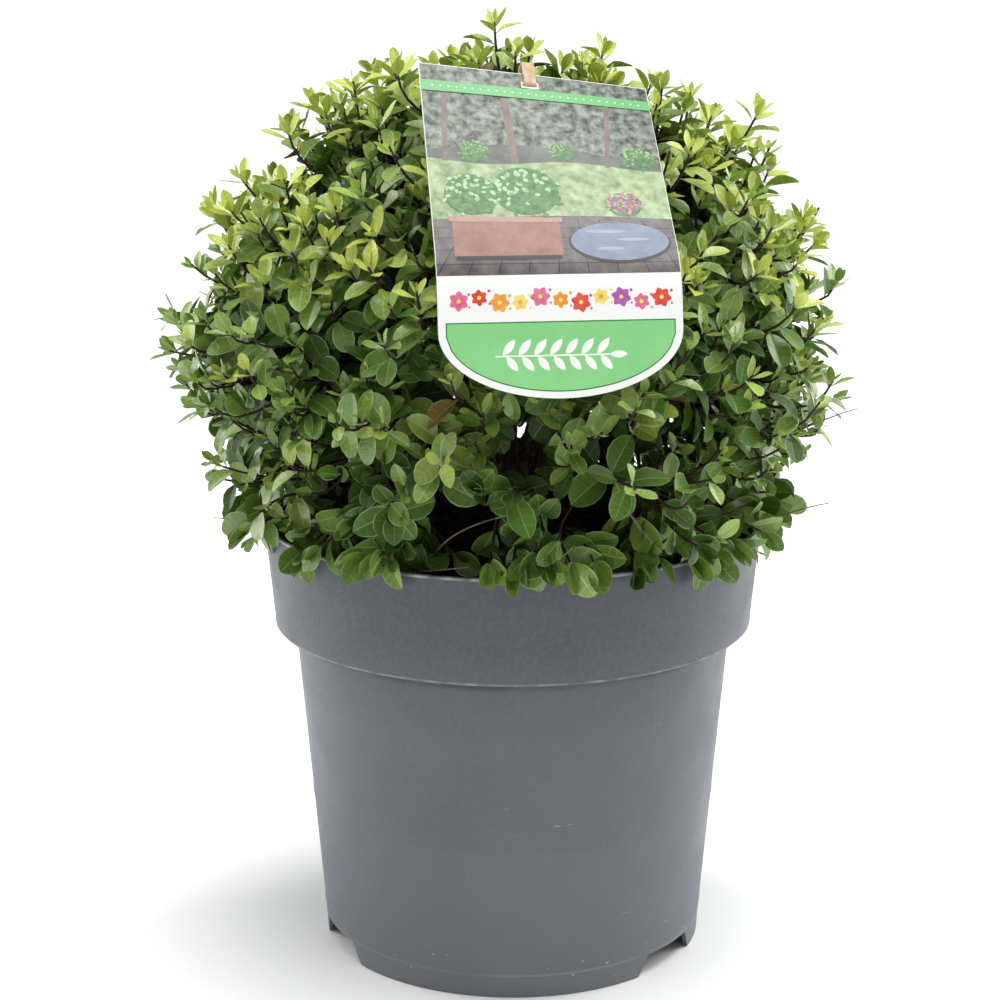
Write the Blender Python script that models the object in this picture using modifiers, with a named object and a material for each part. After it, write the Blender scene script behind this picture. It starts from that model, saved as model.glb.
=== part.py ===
"""A potted pittosporum: a dense ball of small leaves on a short stem, in a grey nursery pot,
with a picture label that hangs from one twig. Metres, +Z up. The origin is on the ground,
in the middle of the pot's foot, and -Y is the front."""

import math
import random

import bmesh
import bpy
from mathutils import Matrix, Vector
from mathutils.bvhtree import BVHTree

# Clearances
GAP = 0.0003
LEAF_CLEAR = 0.0008

# Pot: a thin moulded wall with a deep collar, on a foot ring with three notches
POT_HEIGHT = 0.167
RIM_RADIUS = 0.095
COLLAR_FOOT_RADIUS = 0.0912
COLLAR_FOOT_Z = 0.1267
WALL_TOP_RADIUS = 0.0838
WALL_FOOT_RADIUS = 0.0739
WALL_FOOT_Z = 0.0095
FOOT_RADIUS = 0.0733
POT_WALL = 0.0016
FLOOR_UNDERSIDE_Z = 0.0095
EDGE_ROUND = 0.0006
POT_STEPS = 44
NOTCH_COUNT = 3
NOTCH_FOOT_WIDTH = 0.0355
NOTCH_TOP_WIDTH = 0.026
NOTCH_HEIGHT = 0.0082
NOTCH_DEPTH = 0.012
FIRST_NOTCH = math.radians(-36)
DRAIN_COUNT = 6
DRAIN_RADIUS = 0.004
DRAIN_RING = 0.055
DRAIN_SIDES = 10

# Potting soil
SOIL_TOP = 0.149
SOIL_EDGE_DROP = 0.0015
SOIL_STEPS = 28

# Trunk and fork
TRUNK_FOOT = Vector((0.0025, -0.001, SOIL_TOP + GAP))
FORK = Vector((0.0, 0.0, 0.186))
FLARE_RADIUS = 0.0088
FLARE_HEIGHT = 0.009
TRUNK_RADIUS = 0.0062
FORK_RADIUS = 0.0055
TRUNK_SIDES = 12

# Boughs
BOUGH_FOOT_RADIUS = 0.0018
BOUGH_TIP_RADIUS = 0.0013
BOUGH_SIDES = 5
BOUGH_POINTS = 7
BOUGH_END_RUN = 0.0025
SIDE_BOUGH_DROP = 0.0085
SHOULDER = math.radians(42)

# Crown: half an ellipsoid above its middle and a deeper one below it, cut off over the rim
CROWN = Vector((-0.002, 0.0, 0.230))
REACH_OUT = 0.128
REACH_UP = 0.118
REACH_DOWN = 0.135
LONG_REACH = 1.2
CROWN_LOWEST = 0.143
RIM_CLEAR = 0.0012
HALF_SEAM = 0.0005

# Masses of foliage: one on top, a ring above the middle and a ring below it
UPPER_COUNT = 5
UPPER_RISE = math.radians(28)
UPPER_FIRST = math.radians(-90)
LOWER_COUNT = 6
LOWER_RISE = math.radians(-20)
LOWER_FIRST = math.radians(-120)
MASS_START = 0.046
CORE_START = 0.054
CORE_SHARE = 0.63
CORE_SEAM = 0.0010
CORE_LOWEST = 0.172

# Twigs and leaves of one mass
SEED = 27
TWIG_COUNT = 7
TWIG_SPREAD = math.radians(38)
TWIG_FOOT_RADIUS = 0.0013
TWIG_TIP_RADIUS = 0.0008
TWIG_TRIES = (1.0, 0.9, 0.8, 0.7)
TWIG_REACH = 0.85
TWIG_SIDES = 3
STEM_REACH = 0.74
STEM_RADIUS = 0.0017
LEAF_LENGTH = 0.027
LEAF_WIDTH = 0.0175
LEAF_THICKNESS = 0.0009
LEAF_SIDES = 6
LEAF_ROOT = 0.0003
LEAF_STATIONS = (0.98, 0.86, 0.74, 0.62, 0.50)
END_STATIONS = (0.80, 0.60)
LEAF_SPACING = 0.0130
TWIG_CLEAR = 0.0004
LEAF_TRIES = 5
GOLDEN_ANGLE = math.radians(137.508)
LEAF_FOLD = 0.05
LEAF_DROOP = 0.10
LEAF_WIDEST = 0.55
OPENING_AT_FOOT = math.radians(88)
OPENING_LOSS = math.radians(34)
OPENING_SPREAD = math.radians(6)
TWIG_BOW = 0.004
SHOOT_BOW = 0.003
HANG_BOW = 0.007

# The tallest and widest shoots, as points that a leaf tip reaches
SHOOTS = (
    Vector((-0.0070, -0.004, 0.3572)),
    Vector((0.0345, 0.012, 0.3470)),
    Vector((-0.0440, 0.004, 0.3420)),
    Vector((0.0870, 0.010, 0.3220)),
    Vector((-0.1040, -0.006, 0.3010)),
    Vector((0.1180, 0.008, 0.2740)),
    Vector((-0.1362, 0.004, 0.2300)),
    Vector((0.1322, -0.006, 0.2160)),
    Vector((-0.0250, 0.1290, 0.2260)),
    Vector((0.0420, -0.1240, 0.2050)),
    Vector((-0.0250, -0.1275, 0.2150)),
)

# Leaves that hang over the pot's rim, all round it
HANG_COUNT = 12
HANG_FIRST = math.radians(-97)
HANG_RADIUS = 0.1055
HANG_TIP_Z = 0.149
HANG_UNEVEN = (-0.003, 0.004)
HANG_DROP = 0.023
HANG_SLANT = 0.003

# Label: a thin sheet that leans back on the crown, more steeply above its middle
LABEL_WIDTH = 0.081
LABEL_ABOVE = 0.0889
LABEL_STRAIGHT = 0.1072
LABEL_ROUND = 0.022
LABEL_THICKNESS = 0.0006
LABEL_MIDDLE = Vector((0.0146, -0.1122, 0.2750))
LABEL_TURN = math.radians(7.0)
LABEL_LEAN_LOW = math.radians(12.3)
LABEL_LEAN_HIGH = math.radians(48.1)
LABEL_TWIST = math.radians(4.7)
LABEL_BEND_FROM = -0.012
LABEL_BEND_TO = 0.014
LABEL_COLUMNS = 8
LABEL_ROWS = 8
LABEL_EDGE_CLEAR = 0.0015

# Tie: a flat loop through the label's slot, over its top edge and round a twig behind it;
# it stands up from the edge
TIE_U = -0.0018
TIE_WIDTH = 0.0044
TIE_ABOVE = 0.0048
TIE_STRAP = 0.0007
TIE_INSIDE_DEPTH = 0.0036
TIE_ROUND = 0.0010
SLOT_BELOW_EDGE = 0.0052
SLOT_WIDTH = 0.0054
SLOT_HEIGHT = 0.0014
TIE_CLEAR = 0.008
TIE_TWIG_RADIUS = 0.0009
TIE_TWIG_NEAR = 0.003
TIE_TWIG_FAR = 0.001
TIE_RUN = 0.012


def clear_scene():
    for scene_object in list(bpy.data.objects):
        bpy.data.objects.remove(scene_object, do_unlink=True)


def new_collection(name):
    collection = bpy.data.collections.new(name)
    bpy.context.scene.collection.children.link(collection)
    return collection


def plain_material(name, colour, roughness, metallic=0.0):
    material = bpy.data.materials.new(name)
    material.use_nodes = True
    shader = material.node_tree.nodes["Principled BSDF"]
    shader.inputs["Base Color"].default_value = (*colour, 1.0)
    shader.inputs["Roughness"].default_value = roughness
    shader.inputs["Metallic"].default_value = metallic
    material.diffuse_color = (*colour, 1.0)
    return material


def add_object(name, data, collection, material=None):
    added = bpy.data.objects.new(name, data)
    collection.objects.link(added)
    if material is not None:
        data.materials.append(material)
    return added


def object_of(name, bm, collection, material=None):
    bmesh.ops.recalc_face_normals(bm, faces=bm.faces)
    mesh = bpy.data.meshes.new(name)
    bm.to_mesh(mesh)
    bm.free()
    return add_object(name, mesh, collection, material)


def shade(solid, sharp_angle=40):
    solid.data.shade_smooth()
    solid.data.set_sharp_from_angle(angle=math.radians(sharp_angle))


def solid_mesh_of(source, weld=0.000002):
    """The mesh of an object as it is evaluated, in world space, with its caps welded on."""
    bpy.context.view_layer.update()
    graph = bpy.context.evaluated_depsgraph_get()
    mesh = bpy.data.meshes.new_from_object(source.evaluated_get(graph))
    mesh.transform(source.matrix_world)
    if weld:
        bm = bmesh.new()
        bm.from_mesh(mesh)
        bmesh.ops.remove_doubles(bm, verts=bm.verts, dist=weld)
        bmesh.ops.recalc_face_normals(bm, faces=bm.faces)
        bm.to_mesh(mesh)
        bm.free()
    return mesh


def turned(name, profile, steps, collection, material):
    """A full turn of a profile of (radius, height) points round the Z axis."""
    mesh = bpy.data.meshes.new(name)
    points = [(radius, 0.0, height) for radius, height in profile]
    mesh.from_pydata(points, [(i, i + 1) for i in range(len(points) - 1)], [])
    solid = add_object(name, mesh, collection, material)
    screw = solid.modifiers.new("turn", "SCREW")
    screw.steps = steps
    screw.render_steps = steps
    screw.use_merge_vertices = True
    screw.merge_threshold = 0.0001
    return solid


def ring_section(sides, guides):
    """A closed polygon of radius 1 that a tapering tube takes as its section."""
    name = f"section_{sides}"
    if name in bpy.data.objects:
        return bpy.data.objects[name]
    curve = bpy.data.curves.new(name, "CURVE")
    spline = curve.splines.new("POLY")
    spline.points.add(sides - 1)
    for k, point in enumerate(spline.points):
        angle = 2 * math.pi * k / sides
        point.co = (math.cos(angle), math.sin(angle), 0.0, 1.0)
    spline.use_cyclic_u = True
    section = add_object(name, curve, guides)
    section.hide_render = True
    section.display_type = "WIRE"
    return section


def tube(name, points, radii, sides, collection, guides, material=None):
    """A tapering tube along the points, closed at both ends, as a mesh object."""
    curve = bpy.data.curves.new(name, "CURVE")
    curve.dimensions = "3D"
    spline = curve.splines.new("POLY")
    spline.points.add(len(points) - 1)
    for spot, place, radius in zip(spline.points, points, radii):
        spot.co = (*place, 1.0)
        spot.radius = radius
    curve.bevel_mode = "OBJECT"
    curve.bevel_object = ring_section(sides, guides)
    curve.use_fill_caps = True
    guide = add_object(name + "_route", curve, guides)
    mesh = solid_mesh_of(guide)
    bpy.data.objects.remove(guide, do_unlink=True)
    mesh.name = name
    return add_object(name, mesh, collection, material)


def arc(centre_x, centre_z, radius, start, end, steps=3):
    """Points of (x, z) along an arc, with angles in degrees from +X."""
    angles = [math.radians(start + (end - start) * k / steps) for k in range(steps + 1)]
    return [(centre_x + radius * math.cos(a), centre_z + radius * math.sin(a)) for a in angles]


def wall_radius(z):
    """The pot's outer radius at a height under the collar."""
    share = (z - WALL_FOOT_Z) / (COLLAR_FOOT_Z - WALL_FOOT_Z)
    return WALL_FOOT_RADIUS + (WALL_TOP_RADIUS - WALL_FOOT_RADIUS) * share


def collar_radius(z):
    share = (z - COLLAR_FOOT_Z) / (POT_HEIGHT - COLLAR_FOOT_Z)
    return COLLAR_FOOT_RADIUS + (RIM_RADIUS - COLLAR_FOOT_RADIUS) * share


def pot_inside():
    """The inner profile from the floor to the rim, as (radius, height)."""
    floor_z = FLOOR_UNDERSIDE_Z + POT_WALL
    shelf_z = COLLAR_FOOT_Z + POT_WALL
    return [
        (wall_radius(floor_z) - POT_WALL, floor_z),
        (WALL_TOP_RADIUS - POT_WALL, shelf_z),
        (collar_radius(shelf_z) - POT_WALL, shelf_z),
        (RIM_RADIUS - POT_WALL, POT_HEIGHT - EDGE_ROUND),
    ]


def build_pot(parts, cutters, material):
    floor_z = FLOOR_UNDERSIDE_Z + POT_WALL
    rim_edge = arc(RIM_RADIUS - EDGE_ROUND, POT_HEIGHT - EDGE_ROUND, EDGE_ROUND, 90, 0)
    collar_edge = arc(
        COLLAR_FOOT_RADIUS - EDGE_ROUND, COLLAR_FOOT_Z + EDGE_ROUND, EDGE_ROUND, 0, -90
    )
    profile = [(0.0, floor_z)]
    profile += pot_inside()
    profile += [(RIM_RADIUS - POT_WALL + EDGE_ROUND / 2, POT_HEIGHT)]
    profile += rim_edge
    profile += collar_edge
    profile += [
        (WALL_TOP_RADIUS, COLLAR_FOOT_Z),
        (WALL_FOOT_RADIUS, WALL_FOOT_Z),
        (FOOT_RADIUS, 0.0),
        (FOOT_RADIUS - POT_WALL, 0.0),
        (FOOT_RADIUS - POT_WALL, FLOOR_UNDERSIDE_Z),
        (0.0, FLOOR_UNDERSIDE_Z),
    ]
    pot = turned("pot", profile, POT_STEPS, parts, material)
    for number in range(NOTCH_COUNT):
        bm = bmesh.new()
        bmesh.ops.create_cube(bm, size=1.0)
        for vert in bm.verts:
            wide = NOTCH_TOP_WIDTH if vert.co.z > 0 else 2 * NOTCH_FOOT_WIDTH - NOTCH_TOP_WIDTH
            vert.co.x *= NOTCH_DEPTH
            vert.co.y *= wide
            vert.co.z *= 2 * NOTCH_HEIGHT
        notch = object_of(f"notch_{number + 1}", bm, cutters)
        angle = FIRST_NOTCH + number * 2 * math.pi / NOTCH_COUNT
        notch.location = (FOOT_RADIUS * math.cos(angle), FOOT_RADIUS * math.sin(angle), 0.0)
        notch.rotation_euler.z = angle
        cut(pot, notch)
    for number in range(DRAIN_COUNT):
        bm = bmesh.new()
        bmesh.ops.create_cone(
            bm,
            cap_ends=True,
            segments=DRAIN_SIDES,
            radius1=DRAIN_RADIUS,
            radius2=DRAIN_RADIUS,
            depth=4 * POT_WALL,
        )
        drain = object_of(f"drain_{number + 1}", bm, cutters)
        angle = FIRST_NOTCH + number * 2 * math.pi / DRAIN_COUNT
        middle = FLOOR_UNDERSIDE_Z + POT_WALL / 2
        drain.location = (DRAIN_RING * math.cos(angle), DRAIN_RING * math.sin(angle), middle)
        cut(pot, drain)
    shade(pot)
    return pot


def cut(solid, cutter):
    cutter.hide_render = True
    cutter.display_type = "WIRE"
    boolean = solid.modifiers.new(cutter.name, "BOOLEAN")
    boolean.operation = "DIFFERENCE"
    boolean.object = cutter


def build_soil(parts, material):
    floor, shelf_inner, shelf_outer, rim = pot_inside()
    slope = (rim[0] - shelf_outer[0]) / (rim[1] - shelf_outer[1])
    edge_z = SOIL_TOP - SOIL_EDGE_DROP
    edge = shelf_outer[0] + slope * (edge_z - shelf_outer[1]) - GAP
    profile = [
        (0.0, SOIL_TOP),
        (2 * FLARE_RADIUS, SOIL_TOP),
        (0.6 * edge, SOIL_TOP - 0.2 * SOIL_EDGE_DROP),
        (0.92 * edge, SOIL_TOP + 0.3 * SOIL_EDGE_DROP),
        (edge, edge_z),
        (shelf_outer[0] - GAP, shelf_outer[1] + GAP),
        (shelf_inner[0] - GAP, shelf_inner[1] + GAP),
        (floor[0] - GAP, floor[1] + GAP),
        (0.0, floor[1] + GAP),
    ]
    soil = turned("potting_soil", profile, SOIL_STEPS, parts, material)
    shade(soil)
    return soil


def bezier(a, b, c, d, count):
    """Points at even shares along a cubic curve."""
    points = []
    for k in range(count):
        t = k / (count - 1)
        s = 1 - t
        points.append(s**3 * a + 3 * s * s * t * b + 3 * s * t * t * c + t**3 * d)
    return points


def build_trunk(parts, guides, material):
    """A short stem with a root flare, cut flat on the soil, and domed at its fork."""
    rise = FORK - TRUNK_FOOT
    shares = (0.0, 0.08, FLARE_HEIGHT / rise.z, 0.6, 1.0)
    flare_gain = FLARE_RADIUS - TRUNK_RADIUS
    radii = [
        FLARE_RADIUS,
        TRUNK_RADIUS + 0.45 * flare_gain,
        TRUNK_RADIUS,
        (TRUNK_RADIUS + FORK_RADIUS) / 2,
        FORK_RADIUS,
    ]
    points = []
    for share in shares:
        lean = share * share * (3 - 2 * share)
        points.append(TRUNK_FOOT + Vector((rise.x * lean, rise.y * lean, rise.z * share)))
    for angle in (math.radians(40), math.radians(70)):
        points.append(FORK + Vector((0.0, 0.0, FORK_RADIUS * math.sin(angle))))
        radii.append(FORK_RADIUS * math.cos(angle))
    trunk = tube("trunk", points, radii, TRUNK_SIDES, parts, guides, material)
    shade(trunk, 60)
    return list(zip(points, radii))


class Space:
    """The share of the crown that one mass keeps to: a cone from the crown's middle."""

    def __init__(self, name, turn, rise):
        self.name = name
        self.turn = turn
        self.rise = rise
        flat = math.cos(rise)
        self.aim = Vector((flat * math.cos(turn), flat * math.sin(turn), math.sin(rise)))
        self.walls = []

    def meet(self, others):
        for other in others:
            if other is not self:
                self.walls.append((self.aim - other.aim).normalized())

    def holds(self, point, seam):
        offset = point - CROWN
        return all(offset.dot(wall) >= seam for wall in self.walls)


def crown_spaces():
    spaces = [Space("foliage_top", 0.0, math.radians(90))]
    for number in range(UPPER_COUNT):
        turn = UPPER_FIRST + number * 2 * math.pi / UPPER_COUNT
        spaces.append(Space(f"foliage_upper_{number + 1}", turn, UPPER_RISE))
    for number in range(LOWER_COUNT):
        turn = LOWER_FIRST + number * 2 * math.pi / LOWER_COUNT
        spaces.append(Space(f"foliage_lower_{number + 1}", turn, LOWER_RISE))
    for space in spaces:
        space.meet(spaces)
    return spaces


def crown_share(point):
    """How far out a point lies: 0 at the crown's middle and 1 on its outline."""
    offset = point - CROWN
    height = REACH_UP if offset.z > 0 else REACH_DOWN
    return math.hypot(math.hypot(offset.x, offset.y) / REACH_OUT, offset.z / height)


def crown_point(direction, share):
    probe = CROWN + direction.normalized()
    return CROWN + direction.normalized() * (share / crown_share(probe))


def trunk_at(trunk, z):
    """The trunk's middle and radius at a height."""
    for (a, radius_a), (b, radius_b) in zip(trunk, trunk[1:]):
        if b.z >= z:
            share = (z - a.z) / (b.z - a.z)
            return a.lerp(b, share), radius_a + (radius_b - radius_a) * share
    return trunk[-1]


def bough_route(space, trunk):
    """The points of one bough, from the trunk or its domed fork to its mass."""
    level = Vector((math.cos(space.turn), math.sin(space.turn), 0.0))
    if space.rise > math.radians(80):
        out = Vector((0.0, 0.0, 1.0))
        foot = FORK + out * (FORK_RADIUS + GAP)
    elif space.rise > 0:
        out = level * math.cos(SHOULDER) + Vector((0.0, 0.0, math.sin(SHOULDER)))
        foot = FORK + out * (FORK_RADIUS + GAP)
    else:
        out = level
        middle, radius = trunk_at(trunk, FORK.z - SIDE_BOUGH_DROP)
        foot = middle + out * (radius + GAP)
    tip = CROWN + space.aim * (MASS_START - GAP)
    start = foot + out * BOUGH_END_RUN
    end = tip - space.aim * BOUGH_END_RUN
    reach = (end - start).length / 3
    bend = bezier(start, start + out * reach, end - space.aim * reach, end, BOUGH_POINTS - 2)
    return [foot, *bend, tip]


def build_boughs(spaces, trunk, parts, guides, material):
    limbs = []
    for space in spaces:
        points = bough_route(space, trunk)
        step = (BOUGH_TIP_RADIUS - BOUGH_FOOT_RADIUS) / (BOUGH_POINTS - 1)
        radii = [BOUGH_FOOT_RADIUS + step * k for k in range(BOUGH_POINTS)]
        name = space.name.replace("foliage", "bough")
        bough = tube(name, points, radii, BOUGH_SIDES, parts, guides, material)
        shade(bough, 50)
        limbs.append(list(zip(points, radii)))
    return limbs


def clear_of_limbs(point, limbs, spare):
    for limb in limbs:
        for (a, radius_a), (b, radius_b) in zip(limb, limb[1:]):
            run = b - a
            share = min(1.0, max(0.0, (point - a).dot(run) / run.length_squared))
            if (point - a - run * share).length < max(radius_a, radius_b) + spare:
                return False
    return True


def label_lean(u, v):
    high = LABEL_LEAN_HIGH + LABEL_TWIST * u / (LABEL_WIDTH / 2)
    share = min(1.0, max(0.0, (v - LABEL_BEND_FROM) / (LABEL_BEND_TO - LABEL_BEND_FROM)))
    return LABEL_LEAN_LOW + (high - LABEL_LEAN_LOW) * share * share * (3 - 2 * share)


def label_point(u, v, steps=14):
    """A point of the label's sheet: u across it from its middle, v up it from its bend."""
    across = Vector((math.cos(LABEL_TURN), math.sin(LABEL_TURN), 0.0))
    back = Vector((-math.sin(LABEL_TURN), math.cos(LABEL_TURN), 0.0))
    place = LABEL_MIDDLE + across * u
    for k in range(steps):
        lean = label_lean(u, v * (k + 0.5) / steps)
        place += (back * math.sin(lean) + Vector((0, 0, math.cos(lean)))) * (v / steps)
    return place


def label_axes(u, v):
    """The sheet's own axes at a point: across, up along the sheet, and out of its front."""
    small = 0.0005
    across = (label_point(u + small, v) - label_point(u - small, v)).normalized()
    along = label_point(u, v + small) - label_point(u, v - small)
    along = (along - across * along.dot(across)).normalized()
    return across, along, across.cross(along)


def on_label(point):
    """The sheet coordinates nearest to a point, and its height over the front."""
    u, v = 0.0, 0.5 * LABEL_ABOVE
    for _ in range(6):
        across, along, out = label_axes(u, v)
        offset = point - label_point(u, v)
        u += offset.dot(across)
        v += offset.dot(along)
    return u, v, (point - label_point(u, v)).dot(out)


def label_bottom(u):
    """How far down the sheet reaches at u, as v."""
    share = min(1.0, abs(u) / (LABEL_WIDTH / 2))
    return LABEL_ABOVE - LABEL_STRAIGHT - LABEL_ROUND * math.sqrt(1 - share * share)


def clear_of_label(point):
    """Whether a point keeps behind the label, or beside it, and off its tie."""
    if point.y > LABEL_MIDDLE.y + LABEL_ABOVE or point.z < CROWN.z - REACH_UP / 4:
        return True
    u, v, height = on_label(point)
    if abs(u - TIE_U) < TIE_WIDTH and v > LABEL_ABOVE - 2 * SLOT_BELOW_EDGE:
        if v < LABEL_ABOVE + TIE_CLEAR and abs(height) < 2 * TIE_INSIDE_DEPTH:
            return False
    if abs(u) > LABEL_WIDTH / 2 + LABEL_EDGE_CLEAR or v > LABEL_ABOVE + LABEL_EDGE_CLEAR:
        return True
    if v < label_bottom(u) - LABEL_EDGE_CLEAR:
        return True
    return height < -LABEL_THICKNESS - LEAF_CLEAR


def clear_of_pot(point):
    """Whether a point keeps off the pot and soil and above the crown's underside."""
    radius = math.hypot(point.x, point.y)
    if point.z < CROWN_LOWEST:
        return False
    if point.z > POT_HEIGHT + RIM_CLEAR:
        return True
    inside = RIM_RADIUS - 2 * POT_WALL - 2 * RIM_CLEAR
    if radius < inside:
        return point.z > SOIL_TOP + 2 * RIM_CLEAR
    return radius > RIM_RADIUS + RIM_CLEAR


def allowed(points, space, limbs, reach):
    for point in points:
        if crown_share(point) > reach or not space.holds(point, HALF_SEAM):
            return False
        if not clear_of_pot(point) or not clear_of_limbs(point, limbs, LEAF_CLEAR):
            return False
        if not clear_of_label(point):
            return False
    return True


def between(points, steps=4):
    """The points of a bent line with others filled in between them."""
    filled = [points[0]]
    for a, b in zip(points, points[1:]):
        filled += [a.lerp(b, (k + 1) / steps) for k in range(steps)]
    return filled


class Mass:
    """The twigs and leaves of one mass, found by its branching rule."""

    def __init__(self, space, number, limbs):
        self.space = space
        self.dice = random.Random(SEED + 101 * number)
        self.limbs = limbs
        self.twigs = []
        self.leaves = []
        self.middles = []
        self.sheets = []
        self.others = []

    def side_of(self, direction):
        away = Vector((0.3, -0.2, 0.9)) if abs(direction.z) < 0.8 else Vector((1.0, 0.2, 0.1))
        return direction.cross(away).normalized()

    def add_twig(self, points, foot_radius, tip_radius, reach=1.0):
        if not allowed(between(points)[1:], self.space, self.limbs, reach):
            return False
        step = (tip_radius - foot_radius) / (len(points) - 1)
        radii = [foot_radius + step * k for k in range(len(points))]
        self.twigs.append((points, radii))
        return True

    def add_leaf(self, root, direction, face, length, width, reach=1.0):
        """A leaf from its root, or nothing where it would leave the space."""
        direction = direction.normalized()
        across = face.cross(direction).normalized()
        up = direction.cross(across)
        place = Matrix((direction, across, up)).transposed().to_4x4()
        place.translation = root
        spots = [place @ leaf_spot(1.0, 0.0, length, width)]
        for along in (0.15, 0.3, 0.425, 0.55, 0.675, 0.8, 0.9):
            half = min(1.0, along / 0.3, (1.0 - along) / 0.2)
            spots += [place @ leaf_spot(along, half * y, length, width) for y in (-1, 0, 1)]
        middle = place @ leaf_spot(LEAF_WIDEST, 0.0, length, width)
        if any((middle - other).length < LEAF_SPACING for other in self.middles):
            return False
        if not allowed(spots, self.space, self.limbs, reach):
            return False
        if not all(clear_of_limbs(spot, self.others, TWIG_CLEAR) for spot in spots):
            return False
        sheet = leaf_sheet(place, length, width)
        if any(sheet.overlap(other) for other in self.sheets):
            return False
        self.middles.append(middle)
        self.sheets.append(sheet)
        self.leaves.append((place, length, width))
        return True

    def leafy_twig(self, points, reach=1.0, size=1.0, stations=LEAF_STATIONS):
        """Leaves in a spiral along the outer part of a twig, and one at its tip."""
        self.others = [list(zip(*twig)) for twig in self.twigs if twig[0] is not points]
        spin = self.dice.uniform(0, 2 * math.pi)
        for number, share in enumerate(stations):
            place = share * (len(points) - 1)
            index = min(int(place), len(points) - 2)
            root = points[index].lerp(points[index + 1], place - index)
            if crown_share(root) < CORE_SHARE + 0.02:
                continue
            ahead = (points[index + 1] - points[index]).normalized()
            opening = OPENING_AT_FOOT - OPENING_LOSS * share
            opening += OPENING_SPREAD * self.dice.uniform(-1, 1)
            length = size * LEAF_LENGTH * self.dice.uniform(0.85, 1.08)
            for attempt in range(LEAF_TRIES):
                turn = spin + number * GOLDEN_ANGLE + attempt * 2 * math.pi / LEAF_TRIES
                side = self.side_of(ahead)
                side.rotate(Matrix.Rotation(turn, 3, ahead))
                direction = ahead * math.cos(opening) + side * math.sin(opening)
                face = ahead * math.sin(opening) - side * math.cos(opening)
                foot = root - direction * LEAF_ROOT
                shorter = length * (1 - 0.06 * attempt)
                if self.add_leaf(foot, direction, face, shorter, LEAF_WIDTH * size, reach):
                    break
        ahead = (points[-1] - points[-2]).normalized()
        length = size * LEAF_LENGTH * self.dice.uniform(0.72, 0.9)
        root = points[-1] - ahead * (2 * LEAF_ROOT)
        self.add_leaf(root, ahead, self.side_of(ahead), length, 0.8 * LEAF_WIDTH * size, reach)

    def grow(self, shoots):
        """The stem, the twigs that fan out from it, and the twigs of the tallest shoots."""
        aim = self.space.aim
        stem_foot = CROWN + aim * MASS_START
        stem_tip = crown_point(aim, STEM_REACH)
        stem = [stem_foot, stem_foot.lerp(stem_tip, 0.5), stem_tip]
        self.twigs.append((stem, [STEM_RADIUS, STEM_RADIUS, TWIG_FOOT_RADIUS]))
        side = self.side_of(aim)
        if self.space.holds(label_point(TIE_U, LABEL_ABOVE), HALF_SEAM):
            self.tie_twig(stem)
        for shoot in shoots:
            self.shoot_to(stem, shoot)
        for number in range(HANG_COUNT):
            turn = HANG_FIRST + number * 2 * math.pi / HANG_COUNT
            rim = Vector((HANG_RADIUS * math.cos(turn), HANG_RADIUS * math.sin(turn), 0.0))
            reached = rim + Vector((0.0, 0.0, HANG_TIP_Z + self.dice.uniform(*HANG_UNEVEN)))
            if self.space.holds(reached, 6 * HALF_SEAM):
                self.hang_to(stem, reached)
        for number in range(TWIG_COUNT):
            spread = TWIG_SPREAD * math.sqrt((number + 0.4) / TWIG_COUNT)
            reach = TWIG_REACH * self.dice.uniform(0.95, 1.02)
            lean = side.copy()
            lean.rotate(Matrix.Rotation(number * GOLDEN_ANGLE, 3, aim))
            for narrower in TWIG_TRIES:
                angle = spread * narrower
                toward = aim * math.cos(angle) + lean * math.sin(angle)
                start = stem[0].lerp(stem[2], 0.9 - 0.75 * angle / TWIG_SPREAD)
                tip = crown_point(toward, reach)
                points = [start, start.lerp(tip, 0.5) + toward * TWIG_BOW, tip]
                if self.add_twig(points, TWIG_FOOT_RADIUS, TWIG_TIP_RADIUS):
                    self.leafy_twig(points)
                    break

    def shoot_to(self, stem, reached):
        """A long twig that ends in a leaf whose tip is the reached point."""
        outward = (reached - CROWN).normalized()
        tip = reached - outward * (0.75 * LEAF_LENGTH)
        start = stem[0].lerp(stem[2], 0.7)
        points = [start, start.lerp(tip, 0.55) + outward * SHOOT_BOW, tip]
        self.ended_twig(points, reached, self.side_of(outward), 0.65 * LEAF_WIDTH)

    def hang_to(self, stem, reached):
        """A twig that bends over the pot's rim and ends in a hanging leaf."""
        level = Vector((reached.x, reached.y, 0.0)).normalized()
        tip = reached + Vector((0.0, 0.0, HANG_DROP)) - level * HANG_SLANT
        start = stem[0].lerp(stem[2], 0.35)
        points = [start, start.lerp(tip, 0.6) + Vector((0.0, 0.0, HANG_BOW)), tip]
        self.ended_twig(points, reached, level, 0.85 * LEAF_WIDTH)

    def ended_twig(self, points, reached, face, width):
        """A twig whose last leaf points at the reached point, with a few more behind it."""
        if not self.add_twig(points, TWIG_FOOT_RADIUS, TWIG_TIP_RADIUS, LONG_REACH):
            return
        ahead = (reached - points[-1]).normalized()
        root = points[-1] - ahead * LEAF_ROOT
        droop = leaf_spot(1.0, 0.0, (reached - root).length, width).z
        across = face.cross(ahead).normalized()
        aim = reached - ahead.cross(across) * droop
        self.add_leaf(root, aim - root, face, (aim - root).length, width, LONG_REACH)
        self.leafy_twig(points, 1.0, 0.85, END_STATIONS)

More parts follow.
